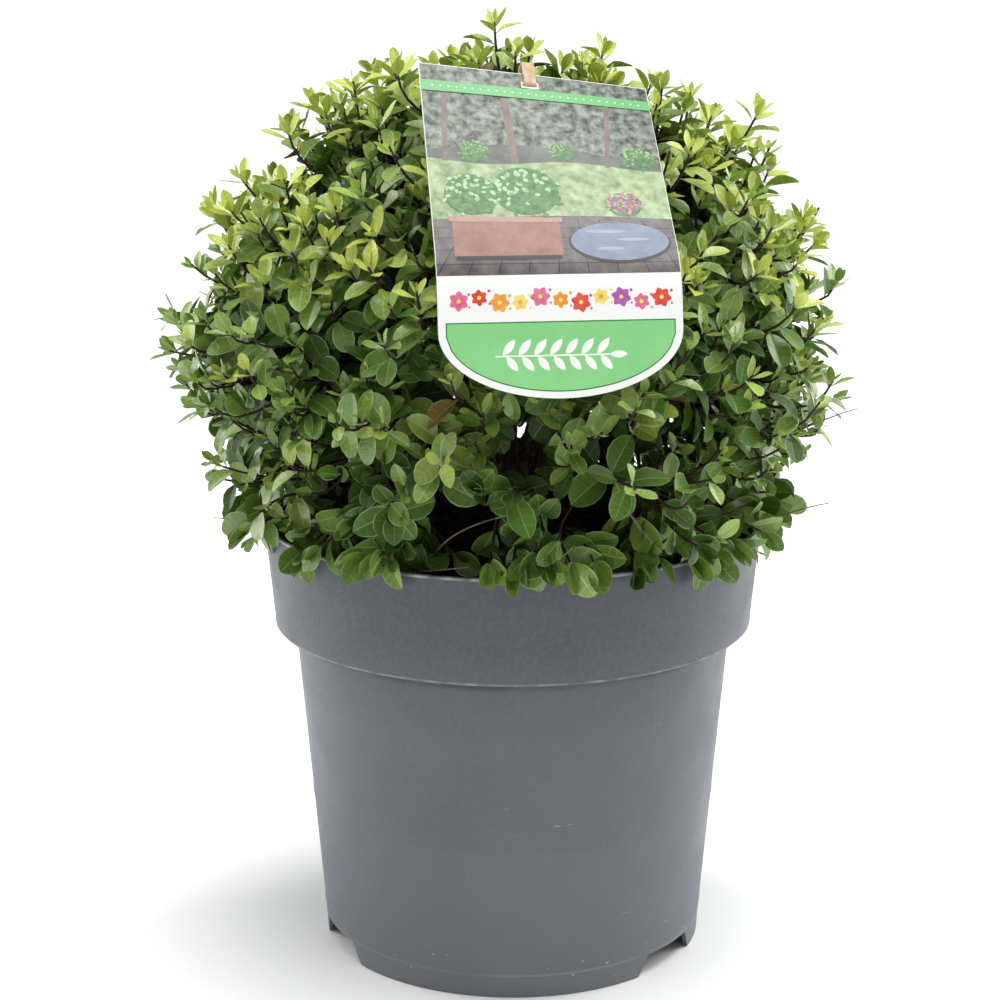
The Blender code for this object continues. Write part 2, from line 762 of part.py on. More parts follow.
    def tie_twig(self, stem):
        """From the stem to a run behind the label's top edge, through the tie, to a tip."""
        across, along, out = label_axes(TIE_U, LABEL_ABOVE)
        behind = LABEL_THICKNESS + GAP + 1.25 * TIE_TWIG_RADIUS
        under = TIE_ABOVE - GAP - TIE_TWIG_RADIUS
        middle = label_point(TIE_U, LABEL_ABOVE) + along * under - out * behind
        near = middle - across * TIE_RUN - out * TIE_TWIG_NEAR
        far = middle + across * TIE_RUN - out * TIE_TWIG_FAR
        tip = far + across * (0.4 * TIE_RUN) + along * (0.7 * TIE_RUN) - out * TIE_RUN
        points = [stem[0].lerp(stem[2], 0.8), near, middle, far, tip]
        self.twigs.append((points, [TIE_TWIG_RADIUS] * len(points)))
        self.leafy_twig(points[-2:], LONG_REACH, 0.7)


def leaf_spot(along, aside, length, width):
    """A point of a leaf's middle sheet: its sides are raised a little and its tip hangs."""
    lift = LEAF_FOLD * length * abs(aside) - LEAF_DROOP * length * max(0.0, along - 0.5)
    return Vector((along * length, aside * width / 2, lift))


def leaf_sheet(place, length, width):
    """A leaf's middle sheet, for finding the leaves that it would cross."""
    rim = [(0.0, 0.0), (0.3, -1.0), (0.8, -1.0), (1.0, 0.0), (0.8, 1.0), (0.3, 1.0)]
    points = [place @ leaf_spot(along, aside, length, width) for along, aside in rim]
    return BVHTree.FromPolygons(points, [(0, 1, 2, 3), (0, 3, 4, 5)])


def leaf_solid(name, place, length, width, collection):
    """A thin six-sided blade, widest past its middle."""
    bm = bmesh.new()
    bmesh.ops.create_uvsphere(bm, u_segments=LEAF_SIDES, v_segments=2, radius=1.0)
    half_step = Matrix.Rotation(math.pi / LEAF_SIDES, 3, "Z")
    bmesh.ops.rotate(bm, cent=(0, 0, 0), matrix=half_step, verts=bm.verts)
    side_reach = math.sin(2 * math.pi / LEAF_SIDES)
    for vert in bm.verts:
        x, y, z = vert.co
        along = 0.5 + 0.5 * x + 0.05 * abs(y / side_reach)
        vert.co = leaf_spot(along, y / side_reach, length, width)
        vert.co.z += z * LEAF_THICKNESS / 2
    bmesh.ops.transform(bm, matrix=place, verts=bm.verts)
    return object_of(name, bm, collection)


def core_solid(space, collection):
    """The crown's dense inner part, cut down to one space."""
    bm = bmesh.new()
    bmesh.ops.create_icosphere(bm, subdivisions=2, radius=1.0)
    for vert in bm.verts:
        vert.co = crown_point(vert.co.copy(), CORE_SHARE)
    planes = [(CROWN + wall * CORE_SEAM, -wall) for wall in space.walls]
    planes.append((CROWN + space.aim * CORE_START, -space.aim))
    planes.append((Vector((0.0, 0.0, CORE_LOWEST)), Vector((0.0, 0.0, -1.0))))
    for place, outward in planes:
        geometry = bm.verts[:] + bm.edges[:] + bm.faces[:]
        bmesh.ops.bisect_plane(
            bm, geom=geometry, dist=1e-6, plane_co=place, plane_no=outward, clear_outer=True
        )
        rim = [edge for edge in bm.edges if edge.is_boundary]
        if rim:
            bmesh.ops.holes_fill(bm, edges=rim, sides=0)
    bmesh.ops.dissolve_limit(
        bm, angle_limit=math.radians(1), verts=bm.verts[:], edges=bm.edges[:]
    )
    return object_of("core", bm, collection)


def largest_body(mesh):
    """Drops loose scraps and sealed hollows: only the body of most volume stays."""
    bm = bmesh.new()
    bm.from_mesh(mesh)
    bmesh.ops.triangulate(bm, faces=bm.faces)
    left = set(bm.faces)
    bodies = []
    while left:
        seed = left.pop()
        body = [seed]
        waiting = [seed]
        while waiting:
            for edge in waiting.pop().edges:
                for face in edge.link_faces:
                    if face in left:
                        left.remove(face)
                        body.append(face)
                        waiting.append(face)
        volume = 0.0
        for face in body:
            a, b, c = (vert.co for vert in face.verts)
            volume += a.dot(b.cross(c)) / 6
        bodies.append((volume, body))
    bodies.sort(key=lambda entry: entry[0])
    for _, body in bodies[:-1]:
        bmesh.ops.delete(bm, geom=body, context="FACES")
    bm.to_mesh(mesh)
    bm.free()
    return mesh


def fuse(name, pieces, parts, material):
    """One closed body out of a collection of overlapping pieces."""
    first, *rest = list(pieces.objects)
    pieces.objects.unlink(first)
    parts.objects.link(first)
    union = first.modifiers.new("fuse", "BOOLEAN")
    union.operation = "UNION"
    union.operand_type = "COLLECTION"
    union.collection = pieces
    union.solver = "MANIFOLD"
    mesh = largest_body(solid_mesh_of(first, weld=0.0))
    bpy.data.objects.remove(first, do_unlink=True)
    for piece in rest:
        bpy.data.objects.remove(piece, do_unlink=True)
    bpy.data.collections.remove(pieces)
    mesh.materials.clear()
    return add_object(name, mesh, parts, material)


def build_mass(space, number, limbs, parts, guides, material):
    mass = Mass(space, number, limbs)
    shoots = [shoot for shoot in SHOOTS if space.holds(shoot, 0.0)]
    mass.grow(shoots)
    pieces = new_collection(space.name + "_pieces")
    core_solid(space, pieces)
    for index, (points, radii) in enumerate(mass.twigs):
        tube(f"twig_{index}", points, radii, TWIG_SIDES, pieces, guides)
    for index, (place, length, width) in enumerate(mass.leaves):
        leaf_solid(f"leaf_{index}", place, length, width, pieces)
    return fuse(space.name, pieces, parts, material)


def build_label(parts, cutters, material):
    bm = bmesh.new()
    bmesh.ops.create_grid(bm, x_segments=LABEL_COLUMNS, y_segments=LABEL_ROWS, size=1.0)
    for vert in bm.verts:
        u = LABEL_WIDTH / 2 * math.sin(math.pi / 2 * vert.co.x)
        share = (1 - vert.co.y) / 2
        v = LABEL_ABOVE + (label_bottom(u) - LABEL_ABOVE) * share
        vert.co = label_point(u, v)
    label = object_of("label", bm, parts, material)
    out = label_axes(0.0, 0.0)[2]
    thick = label.modifiers.new("thickness", "SOLIDIFY")
    thick.thickness = LABEL_THICKNESS
    facing = label.data.polygons[0].normal.dot(out)
    thick.offset = -1.0 if facing > 0 else 1.0
    slot_v = LABEL_ABOVE - SLOT_BELOW_EDGE
    across, along, out = label_axes(TIE_U, slot_v)
    bm = bmesh.new()
    bmesh.ops.create_cube(bm, size=1.0)
    size = Matrix.Diagonal((SLOT_WIDTH, SLOT_HEIGHT, 8 * LABEL_THICKNESS, 1.0))
    bmesh.ops.transform(bm, matrix=size, verts=bm.verts)
    slot = object_of("slot", bm, cutters)
    place = Matrix((across, along, out)).transposed().to_4x4()
    place.translation = label_point(TIE_U, slot_v)
    slot.matrix_world = place
    cut(label, slot)
    return label


def rounded_box(low_x, high_x, low_y, high_y, radius, steps=3):
    corners = (
        (high_x - radius, high_y - radius, 0),
        (low_x + radius, high_y - radius, 90),
        (low_x + radius, low_y + radius, 180),
        (high_x - radius, low_y + radius, 270),
    )
    points = []
    for x, y, start in corners:
        points += arc(x, y, radius, start, start + 90, steps)
    return points


def build_tie(parts, guides, material):
    """The loop lies in the plane of the sheet's own up and out directions."""
    across, along, out = label_axes(TIE_U, LABEL_ABOVE)
    slot_low = -SLOT_BELOW_EDGE - TIE_STRAP / 2
    inner_low = slot_low + TIE_STRAP
    inner_high = TIE_ABOVE
    front = GAP
    back = front - TIE_INSIDE_DEPTH
    inner = rounded_box(inner_low, inner_high, back, front, TIE_ROUND / 2)
    outer = rounded_box(
        inner_low - TIE_STRAP,
        inner_high + TIE_STRAP,
        back - TIE_STRAP,
        front + TIE_STRAP,
        TIE_ROUND,
    )
    curve = bpy.data.curves.new("label_tie", "CURVE")
    curve.dimensions = "2D"
    curve.fill_mode = "BOTH"
    curve.extrude = TIE_WIDTH / 2
    for outline in (outer, inner):
        spline = curve.splines.new("POLY")
        spline.points.add(len(outline) - 1)
        for point, (x, y) in zip(spline.points, outline):
            point.co = (x, y, 0.0, 1.0)
        spline.use_cyclic_u = True
    guide = add_object("label_tie_outline", curve, guides)
    place = Matrix((along, out, along.cross(out))).transposed().to_4x4()
    place.translation = label_point(TIE_U, LABEL_ABOVE)
    guide.matrix_world = place
    mesh = solid_mesh_of(guide)
    bpy.data.objects.remove(guide, do_unlink=True)
    return add_object("label_tie", mesh, parts, material)


def main():
    clear_scene()
    parts = new_collection("pittosporum_in_pot")
    cutters = new_collection("cutters")
    guides = new_collection("guides")
    grey = plain_material("grey_pot", (0.145, 0.153, 0.171), 0.42)
    soil = plain_material("potting_mix", (0.022, 0.016, 0.012), 0.95)
    bark = plain_material("bark", (0.075, 0.045, 0.035), 0.8)
    green = plain_material("foliage", (0.085, 0.215, 0.035), 0.45)
    sheet = plain_material("label_sheet", (0.75, 0.80, 0.74), 0.3)
    tan = plain_material("tie_strap", (0.62, 0.43, 0.24), 0.6)
    build_pot(parts, cutters, grey)
    build_soil(parts, soil)
    spaces = crown_spaces()
    trunk = build_trunk(parts, guides, bark)
    limbs = [trunk] + build_boughs(spaces, trunk, parts, guides, bark)
    for number, space in enumerate(spaces):
        build_mass(space, number, limbs, parts, guides, green)
    build_label(parts, cutters, sheet)
    build_tie(parts, guides, tan)


main()
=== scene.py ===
"""The looks of a potted pittosporum: a dense ball of small leaves in a grey nursery pot, with a
picture label on one twig. Metres, +Z up, -Y is the front."""

import itertools
import math
import random

import bmesh
import bpy
import numpy as np
from mathutils import Matrix, Vector, noise
from mathutils.kdtree import KDTree


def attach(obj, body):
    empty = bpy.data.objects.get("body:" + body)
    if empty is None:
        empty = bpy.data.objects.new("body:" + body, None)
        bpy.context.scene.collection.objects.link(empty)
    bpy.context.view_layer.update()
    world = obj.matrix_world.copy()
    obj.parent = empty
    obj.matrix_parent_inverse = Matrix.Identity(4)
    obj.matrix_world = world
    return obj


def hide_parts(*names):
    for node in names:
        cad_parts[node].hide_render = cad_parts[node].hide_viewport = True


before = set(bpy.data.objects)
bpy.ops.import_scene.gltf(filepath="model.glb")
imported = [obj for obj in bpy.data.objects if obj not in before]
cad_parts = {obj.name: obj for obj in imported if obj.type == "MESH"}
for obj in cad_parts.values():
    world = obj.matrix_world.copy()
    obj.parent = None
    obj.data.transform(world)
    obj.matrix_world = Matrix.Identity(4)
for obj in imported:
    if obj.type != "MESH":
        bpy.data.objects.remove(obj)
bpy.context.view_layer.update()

SEED = 27
FULL_TURN = 2 * math.pi
GOLDEN_ANGLE = math.radians(137.508)
UP = Vector((0.0, 0.0, 1.0))
FOLIAGE = sorted(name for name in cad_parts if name.startswith("foliage"))
BOUGHS = sorted(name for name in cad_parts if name.startswith("bough"))

# Pot and soil, the same sizes as the solids
POT_HEIGHT = 0.167
RIM_RADIUS = 0.095
COLLAR_FOOT_RADIUS = 0.0912
COLLAR_FOOT_Z = 0.1267
WALL_TOP_RADIUS = 0.0838
WALL_FOOT_RADIUS = 0.0739
WALL_FOOT_Z = 0.0095
FOOT_RADIUS = 0.0733
FOOT_CHAMFER = 0.0004
POT_WALL = 0.0016
FLOOR_UNDERSIDE_Z = 0.0095
FLOOR_FILLET = 0.002
SHELF_FILLET = 0.001
LIP_HEIGHT = 0.0021
LIP_SLOPE = 0.0012
EDGE_ROUND = 0.0006
POT_STEPS = 176
NOTCH_COUNT = 3
NOTCH_FOOT_WIDTH = 0.0355
NOTCH_TOP_WIDTH = 0.026
NOTCH_HEIGHT = 0.0082
NOTCH_DEPTH = 0.012
FIRST_NOTCH = math.radians(-36)
DRAIN_COUNT = 6
DRAIN_RADIUS = 0.004
DRAIN_RING = 0.055
RING_Z = 0.0585
RING_HALF = 0.0009
RING_PROUD = 0.00022
SOIL_TOP = 0.149
CRUMB_COUNT = 620
CRUMB_REACH = 0.0895
CRUMB_SIZES = (0.0009, 0.0024)
CRUMB_CLEAR = 0.003
CRUMB_DIP = 0.0012
CRUMB_DIP_FROM = 0.082

# Trunk, fork and boughs
GAP = 0.0003
TRUNK_FOOT = Vector((0.0025, -0.001, SOIL_TOP + GAP))
FORK = Vector((0.0, 0.0, 0.186))
FLARE_RADIUS = 0.0088
FLARE_HEIGHT = 0.009
TRUNK_RADIUS = 0.0062
FORK_RADIUS = 0.0055
BOUGH_FOOT_RADIUS = 0.0018
BOUGH_TIP_RADIUS = 0.0013
BOUGH_END_RUN = 0.0025
BOUGH_SINK = 0.0008
SIDE_BOUGH_DROP = 0.0085
SHOULDER = math.radians(42)

# Crown and the spaces of its masses: to each ring their count, first turn and rise in degrees
CROWN = Vector((-0.002, 0.0, 0.230))
REACH_OUT = 0.128
REACH_UP = 0.118
REACH_DOWN = 0.135
CROWN_LOWEST = 0.143
RIM_CLEAR = 0.0012
MASS_RINGS = ((1, 0, 90), (5, -90, 28), (6, -120, -20))
MASS_START = 0.046
STEM_SINK = 0.0006
STEM_REACH = 0.74
STEM_RADII = (0.0015, 0.0013, 0.0010)

# Twigs: the same first fan as in the solids, then finer shoots that fork off it
TWIG_COUNT = 7
TWIG_SPREAD = math.radians(38)
TWIG_REACH = 0.70
TWIG_RADII = (0.0010, 0.00055)
SHOOT_COUNT = 1950
SHOOT_RADII = (0.00080, 0.00042)
DRY_RADII = (0.00046, 0.00020)
SHOOT_POINTS = 9
DRY_POINTS = 14
SHOOT_LOWEST = -0.62
SHOOT_REACH = 0.99
SHOOT_REACH_SPREAD = 0.23
SHOOT_LOWERED = (0.0, 0.05, 0.10, 0.16)
LONG_TIP_LEAF = 0.0055
LOBE_SCALE = 5.2
LOBE_DEPTH = 0.065
HOLE_SCALE = 9.0
HOLE_LEVEL = -0.26

# How low on the ball a shoot stands, from 0 to 1, and what that takes from it
LOW_FROM_Z = -0.02
LOW_RUN = 0.4
LOW_KIND = 0.45
LOW_HOLES = 0.20
LOW_SHRINK = 0.03

# Where the ball is fuller or leaner than its mean: turn and rise in degrees, gain, width in degrees
SWELLS = (
    (0, 28, 0.035, 22),
    (0, -38, 0.015, 14),
    (180, 25, -0.040, 10),
    (180, 61, -0.055, 8),
    (180, 6, 0.025, 12),
    (180, -46, -0.065, 13),
    (-125, -42, -0.030, 18),
)

# Open places between the sprays: turn, rise and width in degrees
HOLLOWS = (
    (-71, -21, 9), (-99, -27, 8), (-68, -9, 6), (-87, -9, 5), (-128, -20, 5), (-38, -24, 6),
    (-8, -22, 6), (-165, -26, 5), (20, -24, 8), (60, -22, 7), (95, -26, 8), (140, -22, 7),
)
HOLLOW_DEPTH = 0.76

# The tallest and widest shoots, as points that a leaf tip reaches
LONG_SHOOTS = (
    (-0.0070, -0.004, 0.3572), (0.0345, 0.012, 0.3470), (-0.0440, 0.004, 0.3420),
    (0.0935, 0.006, 0.3235), (-0.1040, -0.006, 0.3010), (0.1180, 0.008, 0.2740),
    (-0.1350, 0.004, 0.2445), (-0.1335, -0.010, 0.2330), (-0.1235, -0.004, 0.2670),
    (-0.1250, -0.012, 0.2110), (-0.1190, -0.010, 0.1880), (0.1290, -0.006, 0.2130),
    (-0.0250, 0.1290, 0.2260), (0.0420, -0.1240, 0.2050), (-0.0250, -0.1275, 0.2150),
    (0.0525, 0.004, 0.3345), (-0.0760, 0.010, 0.3275), (-0.1150, 0.006, 0.2850),
)

# Leaves that hang over the pot's rim, by their turn in degrees
HANG_FRONT = (-162, -140, -133, -122, -118, -96, -91, -87, -83, -79, -75, -63, -58, -53, -47, -38)
HANG_BACK_COUNT = 26
HANG_BACK_FIRST = -30
HANG_BACK_SPAN = 225

# Thin dry twigs at the crown's edge and low in it: where each starts, bends and ends
DRY_TWIGS = (
    ((0.098, -0.010, 0.196), (0.112, -0.012, 0.205), (0.1285, -0.014, 0.2105)),
    ((0.092, -0.030, 0.170), (0.104, -0.034, 0.177), (0.116, -0.036, 0.1795)),
    ((-0.088, -0.020, 0.166), (-0.100, -0.024, 0.170), (-0.1115, -0.026, 0.1715)),
    ((-0.030, -0.070, 0.163), (-0.028, -0.088, 0.186), (0.012, -0.099, 0.193)),
    ((-0.052, -0.060, 0.160), (-0.040, -0.086, 0.166), (-0.016, -0.092, 0.1705)),
    ((0.040, -0.055, 0.160), (0.052, -0.085, 0.176), (0.036, -0.106, 0.196)),
    ((0.070, 0.030, 0.160), (0.090, 0.050, 0.178), (0.075, 0.078, 0.192)),
    ((-0.060, 0.050, 0.160), (-0.070, 0.078, 0.180), (-0.040, 0.098, 0.190)),
)

# Leaves
LEAF_LENGTH = 0.0140
LEAF_WIDTH = 0.0086
LEAF_ROWS = (0.0, 0.11, 0.19, 0.34, 0.54, 0.73, 0.88, 0.965, 1.0)
PLAIN_ROWS = (0.0, 0.11, 0.26, 0.50, 0.74, 0.92, 1.0)
PETIOLE_SHARE = 0.11
PETIOLE_HALF = 0.00042
RIB_HALF = 0.00034
MARGIN_SHARE = 0.91
TIP_HALF = 0.00012
RIB_SUNK = 0.00012
EDGE_WAVE = 0.00042
FOOT_TAPERS = (0.90, 0.66)
TIP_TAPERS = (0.78, 0.52)
LEAF_SPACING = 0.0026
LEAF_PROBES = ((1.0, 0), (0.75, 1), (0.75, -1), (0.45, 1), (0.45, -1), (0.5, 0))
STEM_PROBES = (0.4, 0.6, 0.8)
BLADE_MAP = "blade"
SIDE_VEIN_COUNT = 6.0
SIDE_VEIN_LEAN = 4.5
STEM_CLEAR = 0.0014
STEM_CELL = 0.003
STEM_STEP = 0.0015
INNERMOST_STEM = 0.7
CLIPPED_SHARE = 0.06
BRONZE_SHARE = 0.012
# Painted shade: leaves deeper in the crown than these shares take darker tones
SHADE_DEPTH = 0.72
INNER_DEPTH = 0.82
INNER_FROM_Z = 0.235
LEAST_DEPTH = 0.60
LEAST_OUTER = 0.70
FLANK_FROM_X = 0.55
WIDEST_FROM_X = 0.72
TOP_FROM_Z = 0.30
FREE_REACH = 1.30
BALL_REACH = 1.035

# To each zone of the crown: leaves at a shoot's tip, leaves in all, and how often each tone comes
# among the young leaves at the tip and among the older ones. The low zone's darker tones are
# painted shade under the crown, and the flank's lighter ones are painted side light.
ZONES = {
    "top": (
        (5, 13),
        {"bright": 55, "young": 45},
        {"young": 24, "lime": 28, "light": 26, "olive": 11, "fresh": 9, "mid": 2},
    ),
    "side": (
        (4, 13),
        {"young": 18, "lime": 32, "light": 40, "bright": 10},
        {"lime": 5, "light": 14, "olive": 13, "fresh": 30, "mid": 26, "deep": 12},
    ),
    "flank": (
        (2, 9),
        {"young": 18, "lime": 30, "light": 28, "fresh": 24},
        {"deep": 8, "mid": 18, "fresh": 34, "light": 27, "lime": 13},
    ),
    "low": (
        (2, 6),
        {"lime": 5, "light": 10, "fresh": 22, "mid": 33, "deep": 30},
        {"shade": 32, "deep": 30, "mid": 22, "cool": 6, "fresh": 9, "light": 1},
    ),
    "hang": (
        (2, 7),
        {"light": 20, "fresh": 40, "mid": 40},
        {"deep": 20, "mid": 34, "fresh": 34, "light": 12},
    ),
}
# Painted shade: the darker tone that each tone turns into deeper in the crown, by zone
DEEPER = {
    "top": {"bright": "light", "young": "light", "lime": "fresh", "light": "mid", "fresh": "cool"},
    "side": {"bright": "light", "young": "fresh", "lime": "fresh", "light": "mid", "fresh": "cool"},
}

# The base colour of each tone's blades, and the looks of their ribs and margins. The pale ribs and
# margins are partly the leaves' own paler rib and rim and partly painted highlight.
TONES = {
    "bright": ((0.55, 0.63, 0.100), "vein_pale", "vein_pale"),
    "young": ((0.335, 0.450, 0.066), "vein_pale", "vein_pale"),
    "lime": ((0.250, 0.380, 0.052), "vein_pale", "vein_pale"),
    "light": ((0.192, 0.305, 0.044), "vein_pale", "margin_pale"),
    "olive": ((0.160, 0.230, 0.030), "vein_soft", "margin_pale"),
    "fresh": ((0.118, 0.225, 0.028), "vein_soft", "margin_pale"),
    "mid": ((0.084, 0.166, 0.021), "vein_soft", "margin_deep"),
    "cool": ((0.060, 0.132, 0.022), "vein_soft", "margin_deep"),
    "deep": ((0.054, 0.113, 0.016), "vein_dull", "margin_deep"),
    "shade": ((0.035, 0.074, 0.011), "vein_dull", "margin_deep"),
    "bronze": ((0.200, 0.120, 0.035), "vein_soft", "margin_deep"),
}
VEINS = {
    "vein_pale": (0.42, 0.50, 0.26),
    "vein_soft": (0.18, 0.30, 0.080),
    "vein_dull": (0.12, 0.20, 0.065),
    "margin_pale": (0.33, 0.43, 0.18),
    "margin_deep": (0.19, 0.29, 0.11),
}

# Label: u runs across the sheet and v up it, from LABEL_MIDDLE
LABEL_WIDTH = 0.081
LABEL_ABOVE = 0.0889
LABEL_STRAIGHT = 0.1072
LABEL_ROUND = 0.022
LABEL_THICKNESS = 0.0006
LABEL_MIDDLE = Vector((0.0146, -0.1122, 0.2750))
LABEL_TURN = math.radians(7.0)
LABEL_LEAN_LOW = math.radians(12.3)
LABEL_LEAN_HIGH = math.radians(48.1)
LABEL_TWIST = math.radians(4.7)
LABEL_BEND_FROM = -0.012
LABEL_BEND_TO = 0.014
LABEL_AHEAD_CLEAR = 0.045
LABEL_BACK_CLEAR = 0.0004
TIE_U = -0.0018
TIE_WIDTH = 0.0044
TIE_INSIDE_DEPTH = 0.0036
TIE_CLEAR = 0.008
SLOT_V = LABEL_ABOVE - 0.0052
SLOT_WIDTH = 0.0054
SLOT_HEIGHT = 0.0014
SLOT_MARGIN = 0.0004
PRINT_MARGIN = 0.0002
PRINT_LAYER = 0.00003

# Each ink with the second one that dapples it, the scale of that and how soft it is
INKS = {
    "hedge": ((0.045, 0.055, 0.045), (0.36, 0.41, 0.34), 330.0, 0.15),
    "bank": ((0.095, 0.105, 0.100), (0.22, 0.24, 0.22), 120.0),
    "lawn": ((0.19, 0.29, 0.12), (0.50, 0.62, 0.36), 240.0, 0.18),
    "stem": ((0.19, 0.14, 0.12), (0.30, 0.24, 0.21), 180.0),
    "leaf_deep": ((0.070, 0.170, 0.060), (0.16, 0.33, 0.13), 500.0, 0.15),
    "leaf_lit": ((0.33, 0.55, 0.29), (0.50, 0.72, 0.44), 400.0, 0.15),
    "clay": ((0.26, 0.120, 0.085), (0.40, 0.22, 0.17), 130.0),
    "clay_rim": ((0.46, 0.28, 0.22), (0.50, 0.32, 0.26)),
    "slate": ((0.17, 0.22, 0.31), (0.27, 0.33, 0.43), 150.0),
    "slate_lit": ((0.33, 0.38, 0.45), (0.38, 0.43, 0.50), 150.0),
    "paving": ((0.10, 0.088, 0.090), (0.22, 0.195, 0.195), 190.0),
    "joint": ((0.045, 0.036, 0.034),),
    "strip": ((0.19, 0.52, 0.21),),
    "panel": ((0.245, 0.64, 0.245), (0.29, 0.69, 0.29), 40.0, 0.12),
    "panel_rim": ((0.035, 0.22, 0.060),),
    "pink": ((0.70, 0.11, 0.25), (0.78, 0.24, 0.38), 300.0),
    "violet": ((0.36, 0.075, 0.36), (0.52, 0.16, 0.50), 300.0),
    "red": ((0.68, 0.05, 0.05), (0.78, 0.14, 0.09), 300.0),
    "orange": ((0.83, 0.27, 0.04), (0.88, 0.42, 0.08), 300.0),
    "yellow": ((0.88, 0.66, 0.08), (0.92, 0.78, 0.24), 300.0),
    "white": ((0.93, 0.94, 0.91), (0.95, 0.96, 0.93)),
}

# Stage: each lamp's kind, name, place, height that it aims at, energy and size. The size of the
# sun is an angle in degrees
LAMPS = (
    ("SUN", "overhead", (0.10, -0.08, 1.0), 0.0, 2.7, 40),
    ("AREA", "left", (-1.3, 0.5, 0.7), 0.2, 14.0, (0.9, 1.3)),
    ("AREA", "right", (1.3, 0.5, 0.7), 0.2, 15.5, (0.9, 1.3)),
    ("AREA", "front", (-0.3, -1.9, 1.5), 0.2, 1.8, (0.8, 0.6)),
)
SKY_STRENGTH = 0.33
CAMERA_PLACE = (-0.0049, -0.893, 0.3902)
CAMERA_DIP = 13.736
CAMERA_LENS = 86.4


# Materials


class Look:
    """A Principled material whose nodes are added one by one."""

    def __init__(self, name, colour, roughness, specular):
        self.material = bpy.data.materials.new(name)
        self.material.use_nodes = True
        self.material.diffuse_color = (*colour, 1.0)
        self.tree = self.material.node_tree
        self.shader = self.tree.nodes["Principled BSDF"]
        self.put("Base Color", (*colour, 1.0))
        self.put("Roughness", roughness)
        self.put("Specular IOR Level", specular)
        self.place = self.node("TexCoord", "Object")
        self.height = None

    def feed(self, socket, value):
        """A socket gets another node's output, or a value of its own."""
        if isinstance(value, bpy.types.NodeSocket):
            self.tree.links.new(value, socket)
        else:
            socket.default_value = value

    def put(self, name, value):
        self.feed(self.shader.inputs[name], value)

    def node(self, kind, output, inputs=(), **settings):
        """The named or numbered output of a new node, whose inputs are pairs of key and value."""
        node = self.tree.nodes.new("ShaderNode" + kind)
        for key, value in settings.items():
            setattr(node, key, value)
        for key, value in inputs:
            self.feed(node.inputs[key], value)
        return node.outputs[output]

    def noise(self, scale, detail=3.0, stretch=None, rough=0.5):
        place = self.place
        if stretch:
            place = self.node("Mapping", "Vector", [("Vector", place), ("Scale", stretch)])
        inputs = [("Vector", place), ("Scale", scale), ("Detail", detail), ("Roughness", rough)]
        return self.node("TexNoise", "Fac", inputs)

    def ramp(self, value, *stops):
        output = self.node("ValToRGB", "Color", [("Fac", value)])
        elements = output.node.color_ramp.elements
        while len(elements) < len(stops):
            elements.new(0.5)
        for element, (position, colour) in zip(elements, stops):
            element.position = position
            element.color = (*colour, 1.0)
        return output

    def span(self, value, *limits):
        """A value's range from low to high, carried over to another one."""
        names = ("From Min", "From Max", "To Min", "To Max")
        return self.node("MapRange", "Result", [("Value", value), *zip(names, limits)])

    def worked(self, operation, *values):
        return self.node("Math", 0, enumerate(values), operation=operation)

    def product(self, first, second):
        return self.worked("MULTIPLY", first, second)

    def mix(self, share, first, colour):
        inputs = [("Factor", share), (6, first), (7, (*colour, 1.0))]
        return self.node("Mix", 2, inputs, data_type="RGBA")

    def bump(self, value, distance, strength):
        inputs = [("Distance", distance), ("Strength", strength), ("Height", value)]
        if self.height is not None:
            inputs.append(("Normal", self.height))
        self.height = self.node("Bump", "Normal", inputs)
        self.put("Normal", self.height)


def shifted(colour, share):
    """A colour made darker or lighter by a share."""
    return tuple(min(1.0, max(0.0, channel * share)) for channel in colour)


def tints(colour, less, more):
    """The stops of a ramp between a darker and a lighter tint of a colour."""
    return (0.3, shifted(colour, less)), (0.7, shifted(colour, more))


def grained(name, colour, surface, grain, stops, relief=None, fine=None):
    """A material whose colour follows one noise. relief is the depth and strength of that noise's
    bump; fine is another noise with its own."""
    look = Look(name, colour, *surface)
    value = look.noise(*grain)
    look.put("Base Color", look.ramp(value, *stops))
    if relief:
        look.bump(value, *relief)
    if fine:
        look.bump(look.noise(*fine[0]), *fine[1])
    return look.material


def side_veins(look):
    """Lines that run out from the rib towards the tip, from the blade's own UV map."""
    blade = look.node("UVMap", "UV", uv_map=BLADE_MAP)
    across = look.node("SeparateXYZ", "X", [(0, blade)])
    along = look.product(across.node.outputs["Y"], FULL_TURN * SIDE_VEIN_COUNT)
    phase = look.worked("MULTIPLY_ADD", across, -SIDE_VEIN_LEAN, along)
    return look.span(look.worked("SINE", phase), 0.55, 1.0, 0.0, 1.0)


def leaf_look(name, colour):
    """A blade: its own base colour, with soft mottling and fine relief between the veins."""
    roughness, specular = (0.31, 0.75) if colour[1] > 0.2 else (0.42, 0.25)
    look = Look(name, colour, roughness, specular)
    tone = look.ramp(look.noise(95.0, 2.0), *tints(colour, 0.82, 1.14))
    veins = side_veins(look)
    share = look.product(veins, look.span(look.noise(260.0, 2.0), 0.35, 0.65, 0.1, 0.75))
    paler = tuple(0.012 + 1.38 * channel for channel in colour)
    look.put("Base Color", look.mix(share, tone, paler))
    gloss = look.span(look.noise(240.0, 2.0), 0.3, 0.7, roughness - 0.05, roughness + 0.09)
    look.put("Roughness", gloss)
    look.bump(veins, 0.00006, 0.7)
    look.bump(look.noise(900.0, 2.0), 0.00008, 0.6)
    look.bump(look.noise(230.0, 1.0), 0.00025, 0.5)
    return look.material


def bark_look(name, dark, pale, scale):
    """Streaky bark with pale pores and a fine lengthwise grain."""
    stops = (0.34, shifted(dark, 0.7)), (0.56, dark), (0.78, pale)
    streaks = (scale, 5.0, (1.0, 1.0, 0.22))
    fine = (4 * scale, 3.0), (0.00015, 0.7)
    return grained(name, dark, (0.72, 0.35), streaks, stops, (0.0005, 0.8), fine)


